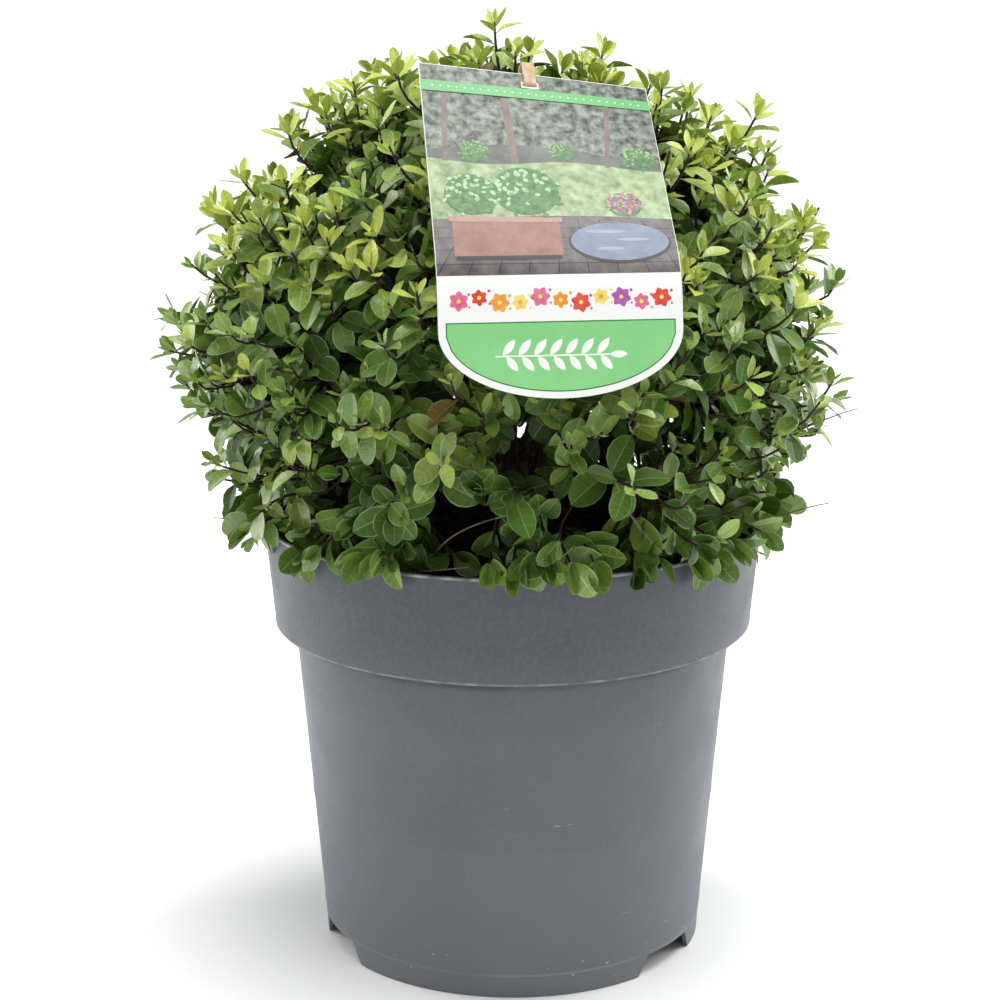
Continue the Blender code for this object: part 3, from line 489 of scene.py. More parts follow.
def print_look(name, colour, other=None, scale=70.0, contrast=0.2):
    """Gloss print: an ink clouded or dappled with a second one, on a slightly wavy sheet."""
    stops = (0.5 - contrast, colour), (0.5 + contrast, other or shifted(colour, 1.06))
    wavy = (28.0, 1.0), (0.0012, 0.35)
    return grained(name, colour, (0.24, 0.22), (scale, 4.0, None, 0.6), stops, None, wavy)


def pot_look():
    """Satin moulded plastic: fine grain, soft clouds, dust low down, pale scuffs and chips, painted
    shade on the collar and under it, painted light low on the wall, and painted highlights along
    the collar's lower edge and the rim.
    """
    colour = (0.101, 0.1145, 0.136)
    look = Look("moulded_grey_plastic", colour, 0.46, 0.5)
    tone = look.ramp(look.noise(14.0, 4.0), *tints(colour, 0.94, 1.06))
    z = look.node("SeparateXYZ", "Z", [(0, look.place)])
    # Painted shade: the collar darkens towards its top. Painted light: the wall lightens towards
    # the foot.
    collar = look.span(z, 0.10, 0.14, 0.0, 0.95)
    foot = look.span(z, 0.07, 0.0, 0.0, 0.9)
    dust = look.product(look.span(z, 0.016, 0.0, 0.0, 0.5), look.noise(130.0, 4.0))
    mottle = look.span(look.noise(620.0, 3.0), 0.35, 0.65, 0.0, 0.22)
    specks = look.span(look.noise(1500.0, 1.0), 0.70, 0.78, 0.0, 0.14)
    scuff = look.span(look.noise(120.0, 2.0, (1.0, 1.0, 5.0)), 0.70, 0.80, 0.0, 1.0)
    patch = look.span(look.noise(22.0, 2.0), 0.54, 0.70, 0.0, 0.55)
    chips = look.span(look.noise(420.0, 1.0), 0.745, 0.765, 0.0, 1.0)
    low_down = look.span(z, 0.022, 0.004, 0.0, 0.9)
    layers = [
        # The first two layers are the painted shade on the collar and the painted light towards the
        # foot.
        (collar, shifted(colour, 0.62)),
        (foot, shifted(colour, 1.22)),
        (dust, (0.22, 0.21, 0.19)),
        (mottle, shifted(colour, 1.35)),
        (specks, (0.42, 0.43, 0.45)),
        (look.product(scuff, patch), (0.50, 0.50, 0.50)),
        (look.product(chips, low_down), (0.62, 0.62, 0.60)),
    ]
    # Painted shadow under the collar, painted highlights along the collar's lower edge and along
    # the rim, and a paler line over the foot
    # Noise that breaks up the painted highlights; the next one breaks up the painted shadow and the
    # line over the foot
    highlight_mottle = look.span(look.noise(150.0, 3.0), 0.36, 0.64, 0.1, 1.0)
    dull = look.span(look.noise(35.0, 2.0), 0.40, 0.60, 0.35, 1.0)
    for low, high, soft, line_colour, share in (
        (COLLAR_FOOT_Z - 0.0033, COLLAR_FOOT_Z - 0.0018, 0.0016, (0.040, 0.045, 0.053), dull),
        (COLLAR_FOOT_Z, COLLAR_FOOT_Z + 0.0006, 0.0005, (0.25, 0.26, 0.28), highlight_mottle),
        (POT_HEIGHT - 0.0010, POT_HEIGHT, 0.0003, (0.38, 0.39, 0.41), highlight_mottle),
        (0.0086, 0.0091, 0.0003, (0.20, 0.21, 0.22), dull),
    ):
        above = look.span(z, low - soft, low, 0.0, 1.0)
        below = look.span(z, high, high + soft, 1.0, 0.0)
        layers.append((look.product(look.product(above, below), share), line_colour))
    for share, layer_colour in layers:
        tone = look.mix(share, tone, layer_colour)
    look.put("Base Color", tone)
    look.put("Roughness", look.span(look.noise(60.0, 3.0), 0.3, 0.7, 0.42, 0.54))
    look.bump(look.noise(2600.0, 1.0), 0.00003, 0.5)
    look.bump(look.noise(30.0, 2.0), 0.0006, 0.25)
    return look.material


# Pieces and meshes


def shown(name, data):
    added = bpy.data.objects.new(name, data)
    bpy.context.scene.collection.objects.link(added)
    return added


def shown_bmesh(name, bm):
    mesh = bpy.data.meshes.new(name)
    bm.to_mesh(mesh)
    bm.free()
    return shown(name, mesh)


def settle(piece, slot, *nodes):
    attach(piece, "root")
    if nodes:
        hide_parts(*nodes)
    return piece


def dress_node(name, material):
    """A CAD object keeps its mesh and gets a look."""
    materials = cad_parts[name].data.materials
    materials.clear()
    materials.append(material)


class Heap:
    """Vertices, faces and material numbers of many small shapes that make one mesh."""

    def __init__(self):
        self.points = []
        self.faces = []
        self.slots = []

    def add(self, points, faces, slot=0):
        base = len(self.points)
        self.points.extend(points)
        self.faces.extend(tuple(base + index for index in face) for face in faces)
        self.slots.extend([slot] * len(faces))

    def piece(self, name, materials):
        mesh = bpy.data.meshes.new(name)
        mesh.from_pydata([tuple(point) for point in self.points], [], self.faces)
        for material in materials:
            mesh.materials.append(material)
        mesh.polygons.foreach_set("material_index", self.slots)
        mesh.update()
        mesh.shade_smooth()
        return shown(name, mesh)


def carved(blank, cutters, material, sharp):
    """The mesh of a blank whose modifiers are used up and whose cutters are taken away."""
    for cutter in cutters:
        boolean = blank.modifiers.new(cutter.name, "BOOLEAN")
        boolean.operation = "DIFFERENCE"
        boolean.object = cutter
    bpy.context.view_layer.update()
    graph = bpy.context.evaluated_depsgraph_get()
    mesh = bpy.data.meshes.new_from_object(blank.evaluated_get(graph))
    mesh.transform(blank.matrix_world)
    for leftover in (*cutters, blank):
        bpy.data.objects.remove(leftover, do_unlink=True)
    mesh.materials.clear()
    mesh.materials.append(material)
    mesh.shade_smooth()
    mesh.set_sharp_from_angle(angle=math.radians(sharp))
    return mesh


def boxed(name, size, place, top_share=1.0):
    """A box, or a wedge whose top is narrower along its second side."""
    bm = bmesh.new()
    bmesh.ops.create_cube(bm, size=1.0)
    for vert in bm.verts:
        wide = size[1] * (top_share if vert.co.z > 0 else 2 - top_share)
        vert.co = (vert.co.x * size[0], vert.co.y * wide, vert.co.z * size[2])
    box = shown_bmesh(name, bm)
    box.matrix_world = place
    return box


def tube(heap, points, radii, sides, relief=None):
    """A tapering tube along the points, with pointed ends. relief(k, angle) scales a radius."""
    ahead = (points[1] - points[0]).normalized()
    side = ahead.orthogonal().normalized()
    foot_end = points[0] - ahead * (0.4 * radii[0])
    spots, faces = [], []
    foot, top = len(points) * sides, (len(points) - 1) * sides
    for k, (point, radius) in enumerate(zip(points, radii)):
        if k:
            last = ahead
            after = points[min(k + 1, len(points) - 1)]
            ahead = (after - points[k - 1]).normalized()
            side = (last.rotation_difference(ahead) @ side).normalized()
        other = ahead.cross(side)
        for n in range(sides):
            angle = FULL_TURN * n / sides
            wide = radius * (relief(k, angle) if relief else 1.0)
            spots.append(
                point + side * (wide * math.cos(angle)) + other * (wide * math.sin(angle))
            )
            if k:
                a, b = k * sides + n, k * sides + (n + 1) % sides
                faces.append((a - sides, b - sides, b, a))
    spots += [foot_end, points[-1] + ahead * (0.8 * radii[-1])]
    for n in range(sides):
        m = (n + 1) % sides
        faces += [(foot, m, n), (foot + 1, top + n, top + m)]
    heap.add(spots, faces)


def tapered(foot, tip, count):
    return [foot + (tip - foot) * k / (count - 1) for k in range(count)]


def refined(points, radii, times):
    fine_points, fine_radii = [points[0]], [radii[0]]
    for a, b, radius_a, radius_b in zip(points, points[1:], radii, radii[1:]):
        for k in range(1, times + 1):
            fine_points.append(a.lerp(b, k / times))
            fine_radii.append(radius_a + (radius_b - radius_a) * k / times)
    return fine_points, fine_radii


def bezier(a, b, c, d, count):
    points = []
    for k in range(count):
        t = k / (count - 1)
        s = 1 - t
        points.append(s**3 * a + 3 * s * s * t * b + 3 * s * t * t * c + t**3 * d)
    return points


def toward(turn, rise=0.0):
    """The direction with a turn about the upright and a rise over the level."""
    flat = math.cos(rise)
    return Vector((flat * math.cos(turn), flat * math.sin(turn), math.sin(rise)))


def eased(share):
    return share * share * (3 - 2 * share)


# Pot


def sloped(z, foot_z, top_z, foot, top):
    return foot + (top - foot) * ((z - foot_z) / (top_z - foot_z))


def wall_radius(z):
    return sloped(z, WALL_FOOT_Z, COLLAR_FOOT_Z, WALL_FOOT_RADIUS, WALL_TOP_RADIUS)


def collar_radius(z):
    return sloped(z, COLLAR_FOOT_Z, POT_HEIGHT, COLLAR_FOOT_RADIUS, RIM_RADIUS)


def edge_arc(centre_x, centre_z, start, end, steps=5):
    spots = []
    for k in range(steps + 1):
        angle = math.radians(start + (end - start) * k / steps)
        aside, up = EDGE_ROUND * math.cos(angle), EDGE_ROUND * math.sin(angle)
        spots.append((centre_x + aside, centre_z + up))
    return spots


def pot_profile():
    """From the middle of the floor inside, up and over the rim, and down to the foot ring."""
    floor_z = FLOOR_UNDERSIDE_Z + POT_WALL
    shelf_z = COLLAR_FOOT_Z + POT_WALL
    lip_z = COLLAR_FOOT_Z + LIP_HEIGHT
    inner_foot = wall_radius(floor_z) - POT_WALL
    inner_collar = collar_radius(shelf_z) - POT_WALL
    ring = ((2, 0.0), (1, 0.7), (0, 1.0), (-1, 0.7), (-2, 0.0))
    outside = [(RING_Z + step * RING_HALF, share * RING_PROUD) for step, share in ring]
    outside += [(0.0140, 0.0), (0.0128, 0.00018)]
    return [
        (0.0, floor_z),
        (inner_foot - FLOOR_FILLET, floor_z),
        (inner_foot, floor_z + FLOOR_FILLET),
        (WALL_TOP_RADIUS - POT_WALL, shelf_z),
        (inner_collar - SHELF_FILLET, shelf_z),
        (inner_collar, shelf_z + SHELF_FILLET),
        *edge_arc(RIM_RADIUS - POT_WALL + EDGE_ROUND, POT_HEIGHT - EDGE_ROUND, 180, 90),
        *edge_arc(RIM_RADIUS - EDGE_ROUND, POT_HEIGHT - EDGE_ROUND, 90, 0),
        (collar_radius(lip_z + LIP_SLOPE), lip_z + LIP_SLOPE),
        (collar_radius(lip_z) + 0.00012, lip_z - 0.0002),
        *edge_arc(COLLAR_FOOT_RADIUS - EDGE_ROUND + 0.0002, COLLAR_FOOT_Z + EDGE_ROUND, 10, -90),
        (WALL_TOP_RADIUS + 0.0010, COLLAR_FOOT_Z),
        (WALL_TOP_RADIUS, COLLAR_FOOT_Z - 0.0008),
        *((wall_radius(z) + proud, z) for z, proud in outside),
        (WALL_FOOT_RADIUS, WALL_FOOT_Z),
        (FOOT_RADIUS, FOOT_CHAMFER),
        (FOOT_RADIUS - FOOT_CHAMFER, 0.0),
        (FOOT_RADIUS - POT_WALL, 0.0),
        (FOOT_RADIUS - POT_WALL, FLOOR_UNDERSIDE_Z),
        (0.0, FLOOR_UNDERSIDE_Z),
    ]


def build_pot():
    mesh = bpy.data.meshes.new("pot_profile")
    points = [(radius, 0.0, height) for radius, height in pot_profile()]
    mesh.from_pydata(points, [(i, i + 1) for i in range(len(points) - 1)], [])
    turned = shown("pot_turned", mesh)
    screw = turned.modifiers.new("turn", "SCREW")
    screw.steps = screw.render_steps = POT_STEPS
    screw.use_merge_vertices = True
    screw.merge_threshold = 0.00005
    cutters = []
    size = (NOTCH_DEPTH, NOTCH_FOOT_WIDTH, 2 * NOTCH_HEIGHT)
    for number in range(NOTCH_COUNT):
        spin = Matrix.Rotation(FIRST_NOTCH + number * FULL_TURN / NOTCH_COUNT, 4, "Z")
        place = spin @ Matrix.Translation((FOOT_RADIUS, 0.0, 0.0))
        cutters.append(boxed(f"notch_{number}", size, place, NOTCH_TOP_WIDTH / NOTCH_FOOT_WIDTH))
    sizes = {"radius1": DRAIN_RADIUS, "radius2": DRAIN_RADIUS, "depth": 4 * POT_WALL}
    for number in range(DRAIN_COUNT):
        bm = bmesh.new()
        bmesh.ops.create_cone(bm, cap_ends=True, segments=28, **sizes)
        drain = shown_bmesh(f"drain_{number}", bm)
        angle = FIRST_NOTCH + number * FULL_TURN / DRAIN_COUNT
        middle_z = FLOOR_UNDERSIDE_Z + POT_WALL / 2
        drain.location = (DRAIN_RING * math.cos(angle), DRAIN_RING * math.sin(angle), middle_z)
        cutters.append(drain)
    settle(shown("pot_body", carved(turned, cutters, pot_look(), 38)), "grey_pot", "pot")


# Crown


class Space:
    """The share of the crown that one mass keeps to: a cone from the crown's middle."""

    def __init__(self, turn, rise):
        self.turn = turn
        self.rise = rise
        self.aim = toward(turn, rise)
        self.twigs = []


def crown_spaces():
    return [
        Space(math.radians(first) + number * FULL_TURN / count, math.radians(rise))
        for count, first, rise in MASS_RINGS
        for number in range(count)
    ]


def crown_share(point):
    """How far out a point lies, from 0 in the crown's middle to 1 on the ball."""
    offset = point - CROWN
    height = REACH_UP if offset.z > 0 else REACH_DOWN
    return math.hypot(math.hypot(offset.x, offset.y) / REACH_OUT, offset.z / height)


HOLLOW_CONES = [
    (toward(math.radians(turn), math.radians(rise)), math.cos(math.radians(width)))
    for turn, rise, width in HOLLOWS
]


def in_open_cone(outward):
    return any(aim.dot(outward) > limit for aim, limit in HOLLOW_CONES)


def in_hollow(point):
    return crown_share(point) >= HOLLOW_DEPTH and in_open_cone((point - CROWN).normalized())


def swell(outward):
    """How much further than the mean the ball reaches in a direction, as a share."""
    gain = 0.0
    for turn, rise, most, width in SWELLS:
        angle = toward(math.radians(turn), math.radians(rise)).angle(outward)
        gain += most * math.exp(-((angle / math.radians(width)) ** 2))
    return gain


def crown_point(direction, share):
    outward = direction.normalized()
    return CROWN + outward * (share / crown_share(CROWN + outward))


def clear_of_pot(point):
    radius = math.hypot(point.x, point.y)
    if point.z < CROWN_LOWEST:
        return False
    if point.z > POT_HEIGHT + RIM_CLEAR:
        return True
    if radius < RIM_RADIUS - 2 * POT_WALL - 2 * RIM_CLEAR:
        return point.z > SOIL_TOP + RIM_CLEAR
    return radius > RIM_RADIUS + RIM_CLEAR


# Label sheet


def label_lean(u, v):
    """How far the sheet leans back at a place: steeply above its bend, little below it."""
    high = LABEL_LEAN_HIGH + LABEL_TWIST * u / (LABEL_WIDTH / 2)
    share = min(1.0, max(0.0, (v - LABEL_BEND_FROM) / (LABEL_BEND_TO - LABEL_BEND_FROM)))
    return LABEL_LEAN_LOW + (high - LABEL_LEAN_LOW) * eased(share)


def label_point(u, v, steps=14):
    across = Vector((math.cos(LABEL_TURN), math.sin(LABEL_TURN), 0.0))
    back = Vector((-math.sin(LABEL_TURN), math.cos(LABEL_TURN), 0.0))
    place = LABEL_MIDDLE + across * u
    for k in range(steps):
        lean = label_lean(u, v * (k + 0.5) / steps)
        place += (back * math.sin(lean) + UP * math.cos(lean)) * (v / steps)
    return place


def label_axes(u, v):
    small = 0.0005
    across = (label_point(u + small, v) - label_point(u - small, v)).normalized()
    along = label_point(u, v + small) - label_point(u, v - small)
    along = (along - across * along.dot(across)).normalized()
    return across, along, across.cross(along)


def round_edge(u, half, depth):
    """The sheet's round lower edge, or a line that follows it."""
    share = min(1.0, abs(u) / half)
    return LABEL_ABOVE - LABEL_STRAIGHT - depth * math.sqrt(1 - share * share)


def label_bottom(u):
    return round_edge(u, LABEL_WIDTH / 2, LABEL_ROUND)


class LabelGuard:
    """Finds whether a point lies in front of the label or on its tie, from samples of it."""

    def __init__(self, columns=28, rows=44):
        self.samples = []
        low = LABEL_ABOVE - LABEL_STRAIGHT - LABEL_ROUND
        for i, j in itertools.product(range(columns + 1), range(rows + 1)):
            u = LABEL_WIDTH * (i / columns - 0.5)
            v = low + (LABEL_ABOVE - low) * j / rows
            if v >= label_bottom(u) - 0.002:
                self.samples.append((u, v, label_point(u, v), *label_axes(u, v)))
        self.tree = KDTree(len(self.samples))
        for index, sample in enumerate(self.samples):
            self.tree.insert(sample[2], index)
        self.tree.balance()

    def clears(self, point, edge=0.0008):
        if point.y > LABEL_MIDDLE.y + LABEL_ABOVE or point.z < LABEL_MIDDLE.z - LABEL_ABOVE / 2:
            return True
        u, v, middle, across, along, out = self.samples[self.tree.find(point)[1]]
        offset = point - middle
        height = offset.dot(out)
        u += offset.dot(across)
        v += offset.dot(along)
        beside_tie = abs(u - TIE_U) < TIE_WIDTH and abs(height) < 2 * TIE_INSIDE_DEPTH
        if beside_tie and 2 * SLOT_V - LABEL_ABOVE < v < LABEL_ABOVE + TIE_CLEAR:
            return False
        if abs(u) > LABEL_WIDTH / 2 + edge or v > LABEL_ABOVE + edge:
            return True
        if v < label_bottom(u) - edge:
            return True
        return not -LABEL_THICKNESS - LABEL_BACK_CLEAR <= height <= LABEL_AHEAD_CLEAR


# Limbs


def trunk_route():
    rise = FORK - TRUNK_FOOT
    shares = (0.0, 0.08, FLARE_HEIGHT / rise.z, 0.6, 1.0)
    points = [
        TRUNK_FOOT + Vector((rise.x * eased(share), rise.y * eased(share), rise.z * share))
        for share in shares
    ]
    radii = [
        FLARE_RADIUS,
        TRUNK_RADIUS + 0.45 * (FLARE_RADIUS - TRUNK_RADIUS),
        TRUNK_RADIUS,
        (TRUNK_RADIUS + FORK_RADIUS) / 2,
        FORK_RADIUS,
    ]
    for angle in (math.radians(40), math.radians(70)):
        points.append(FORK + Vector((0.0, 0.0, FORK_RADIUS * math.sin(angle))))
        radii.append(FORK_RADIUS * math.cos(angle))
    return points, radii


def at_height(points, radii, z):
    for a, b, radius_a, radius_b in zip(points, points[1:], radii, radii[1:]):
        if b.z >= z:
            share = (z - a.z) / (b.z - a.z)
            return a.lerp(b, share), radius_a + (radius_b - radius_a) * share
    return points[-1], radii[-1]


def bough_route(space, trunk):
    """One bough from inside the trunk, on to the start of its mass."""
    out = toward(space.turn)
    if space.rise > 0:
        steep = space.rise > math.radians(80)
        out = UP.copy() if steep else out * math.cos(SHOULDER) + UP * math.sin(SHOULDER)
        foot = FORK + out * FORK_RADIUS
    else:
        middle, radius = at_height(*trunk, FORK.z - SIDE_BOUGH_DROP)
        foot = middle + out * radius
    tip = CROWN + space.aim * MASS_START
    start = foot + out * BOUGH_END_RUN
    end = tip - space.aim * BOUGH_END_RUN
    reach = (end - start).length / 3
    bend = bezier(start, start + out * reach, end - space.aim * reach, end, 12)
    return [foot - out * BOUGH_SINK, foot, *bend, tip]


def build_limbs(spaces, bark):
    dice = random.Random(SEED)
    trunk = trunk_route()
    phases = [dice.uniform(0, FULL_TURN) for _ in range(4)]

    def ridges(k, angle):
        lift = 0.045 * math.sin(5 * angle + phases[0] + 0.25 * k)
        lift += 0.03 * math.sin(9 * angle + phases[1] - 0.4 * k)
        lift += 0.018 * math.sin(3 * angle + phases[2] + 0.9 * k)
        return 0.97 + lift

    heap = Heap()
    tube(heap, *refined(*trunk, 7), 36, ridges)
    settle(heap.piece("trunk_bark", [bark]), "bark", "trunk")

    heap = Heap()
    for space in spaces:
        points = bough_route(space, trunk)
        radii = tapered(BOUGH_FOOT_RADIUS, BOUGH_TIP_RADIUS, len(points))
        radii[0] = radii[1] = 1.25 * BOUGH_FOOT_RADIUS
        shift = dice.uniform(0, FULL_TURN)
        points, radii = refined(points, radii, 3)
        knots = [dice.uniform(-0.05, 0.07) for _ in points]

        def knotty(k, angle):
            return 1.0 + knots[k] + 0.06 * math.sin(3 * angle + shift + 0.3 * k)

        tube(heap, points, radii, 12, knotty)
    settle(heap.piece("boughs_bark", [bark]), "bark", *BOUGHS)


# Twigs and shoots


class Shoot:
    """A leafy shoot: its path, how its leaves sit, and the place that it has in the crown."""

    def __init__(self, points, outward, kind, swollen=0.0):
        self.points = points
        self.outward = outward
        self.kind = kind
        self.swollen = swollen
        self.lengths = [0.0]
        for a, b in zip(points, points[1:]):
            self.lengths.append(self.lengths[-1] + (b - a).length)

    def back_from_tip(self, distance):
        """The point and forward direction that lie a distance before the tip."""
        wanted = self.lengths[-1] - distance
        if wanted <= 0:
            return None
        k = next(k for k in range(1, len(self.points)) if self.lengths[k] >= wanted)
        a, b = self.points[k - 1], self.points[k]
        share = (wanted - self.lengths[k - 1]) / (self.lengths[k] - self.lengths[k - 1])
        return a.lerp(b, share), (b - a).normalized()


def grow_twigs(spaces, dice):
    """The stem of each mass and the fan of twigs on it, by the rule of the solids."""
    stems = []
    for space in spaces:
        aim = space.aim
        foot = CROWN + aim * (MASS_START - STEM_SINK)
        tip = crown_point(aim, STEM_REACH)
        bow = aim.orthogonal().normalized() * dice.uniform(-0.002, 0.002)
        stems.append([foot, foot.lerp(tip, 0.5) + bow, tip])
        side = aim.cross(Vector((0.3, -0.2, 0.9)) if abs(aim.z) < 0.8 else Vector((1, 0.2, 0.1)))
        side.normalize()
        for number in range(TWIG_COUNT):
            angle = TWIG_SPREAD * math.sqrt((number + 0.4) / TWIG_COUNT)
            lean = side.copy()
            lean.rotate(Matrix.Rotation(number * GOLDEN_ANGLE, 3, aim))
            heading = aim * math.cos(angle) + lean * math.sin(angle)
            start = foot.lerp(tip, 0.8 - 0.75 * angle / TWIG_SPREAD)
            end = crown_point(heading, TWIG_REACH * dice.uniform(0.94, 1.04))
            if not clear_of_pot(end):
                continue
            middle = start.lerp(end, 0.5) + heading * 0.004
            bends = start.lerp(middle, 0.6), middle.lerp(end, 0.4)
            space.twigs.append(bezier(start, *bends, end, 6))
        space.twigs.append([foot, foot.lerp(tip, 0.5), tip])
    return stems


def shoot_path(spaces, tip, heading):
    """A path from near the tip's closest twig in its mass, which ends in the heading."""
    outward = (tip - CROWN).normalized()
    space = max(spaces, key=lambda space: space.aim.dot(outward))
    places = [(twig, k) for twig in space.twigs for k in range(1, len(twig))]
    twig, k = min(places, key=lambda place: (place[0][place[1]] - tip).length)
    start = twig[k - 1] if k > 1 and len(twig) > 3 else twig[k]
    run = tip - start
    return bezier(start, start + run * 0.35, tip - heading * (0.45 * run.length), tip, SHOOT_POINTS)


def scattered(dice, spread):
    return Vector([dice.gauss(0, spread) for _ in range(3)])


def grow_ball(spaces, guard, dice):
    """The shoots of the ball, spread evenly over it but for its gaps and its hollows."""
    shoots = []
    for number in range(SHOOT_COUNT):
        height = 1 - 2 * (number + 0.5) / SHOOT_COUNT
        turn = number * GOLDEN_ANGLE
        flat = math.sqrt(1 - height * height)
        outward = Vector((flat * math.cos(turn), flat * math.sin(turn), height))
        outward = (outward + scattered(dice, 0.035)).normalized()
        if outward.z < SHOOT_LOWEST:
            continue
        low = max(0.0, min(1.0, (LOW_FROM_Z - outward.z) / LOW_RUN))
        if noise.noise(outward * HOLE_SCALE + UP * 3) < HOLE_LEVEL + LOW_HOLES * low:
            continue
        if in_open_cone(outward):
            continue
        lobe = noise.noise(outward * LOBE_SCALE)
        swollen = swell(outward)
        share = SHOOT_REACH - SHOOT_REACH_SPREAD * dice.random() ** 0.75 + LOBE_DEPTH * lobe
        share = share - LOW_SHRINK * low + swollen
        lift = (1.45 - 1.2 * low) * dice.uniform(0.7, 1.3) + low * dice.uniform(-0.3, 0.5)
        heading = (outward + UP * lift).normalized()
        heading += scattered(dice, 0.12 + 0.16 * low)
        heading.normalize()
        for lower in SHOOT_LOWERED:
            tip = crown_point(outward, share - lower)
            path = shoot_path(spaces, tip, heading)
            if clear_of_pot(tip) and all(guard.clears(point) for point in path[1:]):
                kind = "low" if low > LOW_KIND else "side"
                shoots.append(Shoot(path, outward, kind, swollen))
                break
    return shoots


def grow_shoots(spaces, guard, dice):
    shoots = grow_ball(spaces, guard, dice)
    for reached in map(Vector, LONG_SHOOTS):
        outward = (reached - CROWN).normalized()
        heading = (outward + UP * (0.7 if reached.z > 0.25 else 0.25)).normalized()
        path = shoot_path(spaces, reached - heading * LONG_TIP_LEAF, heading)
        shoots.append(Shoot(path, outward, "long"))
    turns = [turn + dice.uniform(-1, 1) for turn in HANG_FRONT]
    for number in range(HANG_BACK_COUNT):
        step = HANG_BACK_SPAN / HANG_BACK_COUNT
        turns.append(HANG_BACK_FIRST + (number + dice.uniform(-0.3, 0.3)) * step)
    for turn in turns:
        level = toward(math.radians(turn))
        tip = level * (RIM_RADIUS + dice.uniform(-0.001, 0.008))
        tip += UP * (POT_HEIGHT + dice.uniform(0.003, 0.009))
        heading = (level - UP * dice.uniform(0.1, 0.8)).normalized()
        shoots.append(Shoot(shoot_path(spaces, tip, heading), level, "hang"))
    return shoots


def build_twigs(spaces, stems, shoots):
    heap = Heap()
    for points in stems:
        tube(heap, *refined(points, STEM_RADII, 3), 7)
    for space in spaces:
        for twig in space.twigs[:-1]:
            tube(heap, twig, tapered(*TWIG_RADII, len(twig)), 6)
    for shoot in shoots:
        tube(heap, shoot.points, tapered(*SHOOT_RADII, SHOOT_POINTS), 5)
    bark = bark_look("bark_maroon", (0.036, 0.014, 0.013), (0.10, 0.055, 0.045), 520.0)
    settle(heap.piece("twigs", [bark]), "bark", *FOLIAGE)
    heap = Heap()
    for route in DRY_TWIGS:
        start, bend, end = map(Vector, route)
        path = bezier(start, start.lerp(bend, 0.7), bend.lerp(end, 0.4), end, DRY_POINTS)
        tube(heap, path, tapered(*DRY_RADII, DRY_POINTS), 6)
    dry = bark_look("bark_dry", (0.17, 0.13, 0.10), (0.34, 0.28, 0.22), 420.0)
    settle(heap.piece("dry_twigs", [dry]), "bark", *FOLIAGE)


# Leaves


class Grid:
    """Points kept in cells, each with its shoot's number, so that close ones are soon found."""

    def __init__(self, size):
        self.size = size
        self.cells = {}

    def cell(self, point):
        return tuple(int(math.floor(value / self.size)) for value in point)

    def add(self, point, number):
        self.cells.setdefault(self.cell(point), []).append((point, number))

    def taken(self, spot, distance, own=None):
        """Whether a point lies within the distance, apart from those of the shoot itself."""
        x, y, z = self.cell(spot)
        for place in itertools.product((x - 1, x, x + 1), (y - 1, y, y + 1), (z - 1, z, z + 1)):
            for point, number in self.cells.get(place, ()):
                if number != own and (point - spot).length < distance:
                    return True
        return False


class Foliage:
    """Finds every leaf by rule, and keeps them in groups of one base colour each."""

    def __init__(self, guard, shoots, dice):
        self.guard = guard
        self.dice = dice
        self.groups = {}
        self.middles = Grid(LEAF_SPACING)
        self.stems = Grid(STEM_CELL)
        for number, shoot in enumerate(shoots):
            distance = 0.0
            spot = shoot.back_from_tip(distance)
            while spot and crown_share(spot[0]) >= INNERMOST_STEM:
                self.stems.add(spot[0], number)
                distance += STEM_STEP
                spot = shoot.back_from_tip(distance)

    def free(self, root, direction, across, length, width, reach):
        """Whether the leaf's probes, by shares of its length and half width, lie in free air."""
        for along, aside in LEAF_PROBES:
            spot = root + direction * (along * length) + across * (aside * width / 2)
            if crown_share(spot) > reach or (reach < FREE_REACH and in_hollow(spot)):
                return False
            if not clear_of_pot(spot) or not self.guard.clears(spot):
                return False
        return True

    def add(self, own, group, root, direction, face, length, width, reach, bend, age):
        """Adds one leaf if there is room for it, and says whether it did."""
        direction = direction.normalized()
        across = face.cross(direction).normalized()
        middle = root + direction * (0.55 * length)
        if not self.free(root, direction, across, length, width, reach):
            return False
        if self.middles.taken(middle, LEAF_SPACING):
            return False
        for share in STEM_PROBES:
            if self.stems.taken(root + direction * (share * length), STEM_CLEAR, own):
                return False
        self.middles.add(middle, own)
        dice = self.dice
        # Length, width, fold, droop, wave and its phase, twist, and the tapers of foot and tip
        shape = (
            length,
            width,
            dice.uniform(0.14, 0.46),
            bend * dice.uniform(0.05, 0.26),
            dice.uniform(0.2, 1.0),
            dice.uniform(0, FULL_TURN),
            dice.uniform(-0.25, 0.25),
            FOOT_TAPERS[0] + (FOOT_TAPERS[1] - FOOT_TAPERS[0]) * age,
            (TIP_TAPERS[0] + (TIP_TAPERS[1] - TIP_TAPERS[0]) * age) * dice.uniform(0.85, 1.25),
        )
        up = direction.cross(across)
        self.groups.setdefault(group, []).append((root, direction, across, up, shape))
        return True


def drawn(dice, shares):
    """One name out of a table of names and their shares."""
    point = dice.random() * sum(shares.values())
    for name, share in shares.items():
        point -= share
        if point <= 0:
            break
    return name


def zone_of(shoot):
    if shoot.kind == "low" and abs(shoot.outward.x) > FLANK_FROM_X:
        return "flank"
    if shoot.kind in ("hang", "low"):
        return shoot.kind
    return "top" if shoot.outward.z > TOP_FROM_Z else "side"


def tone_at(root, depth, zone, group):
    """The tone that a leaf gets, with painted shade: the deeper in the crown, the darker."""
    if depth < SHADE_DEPTH:
        return "deep" if zone == "top" else "shade"
    if zone in DEEPER and root.z >= INNER_FROM_Z and depth < INNER_DEPTH:
        return DEEPER[zone].get(group, "mid" if zone == "top" else "deep")
    return group


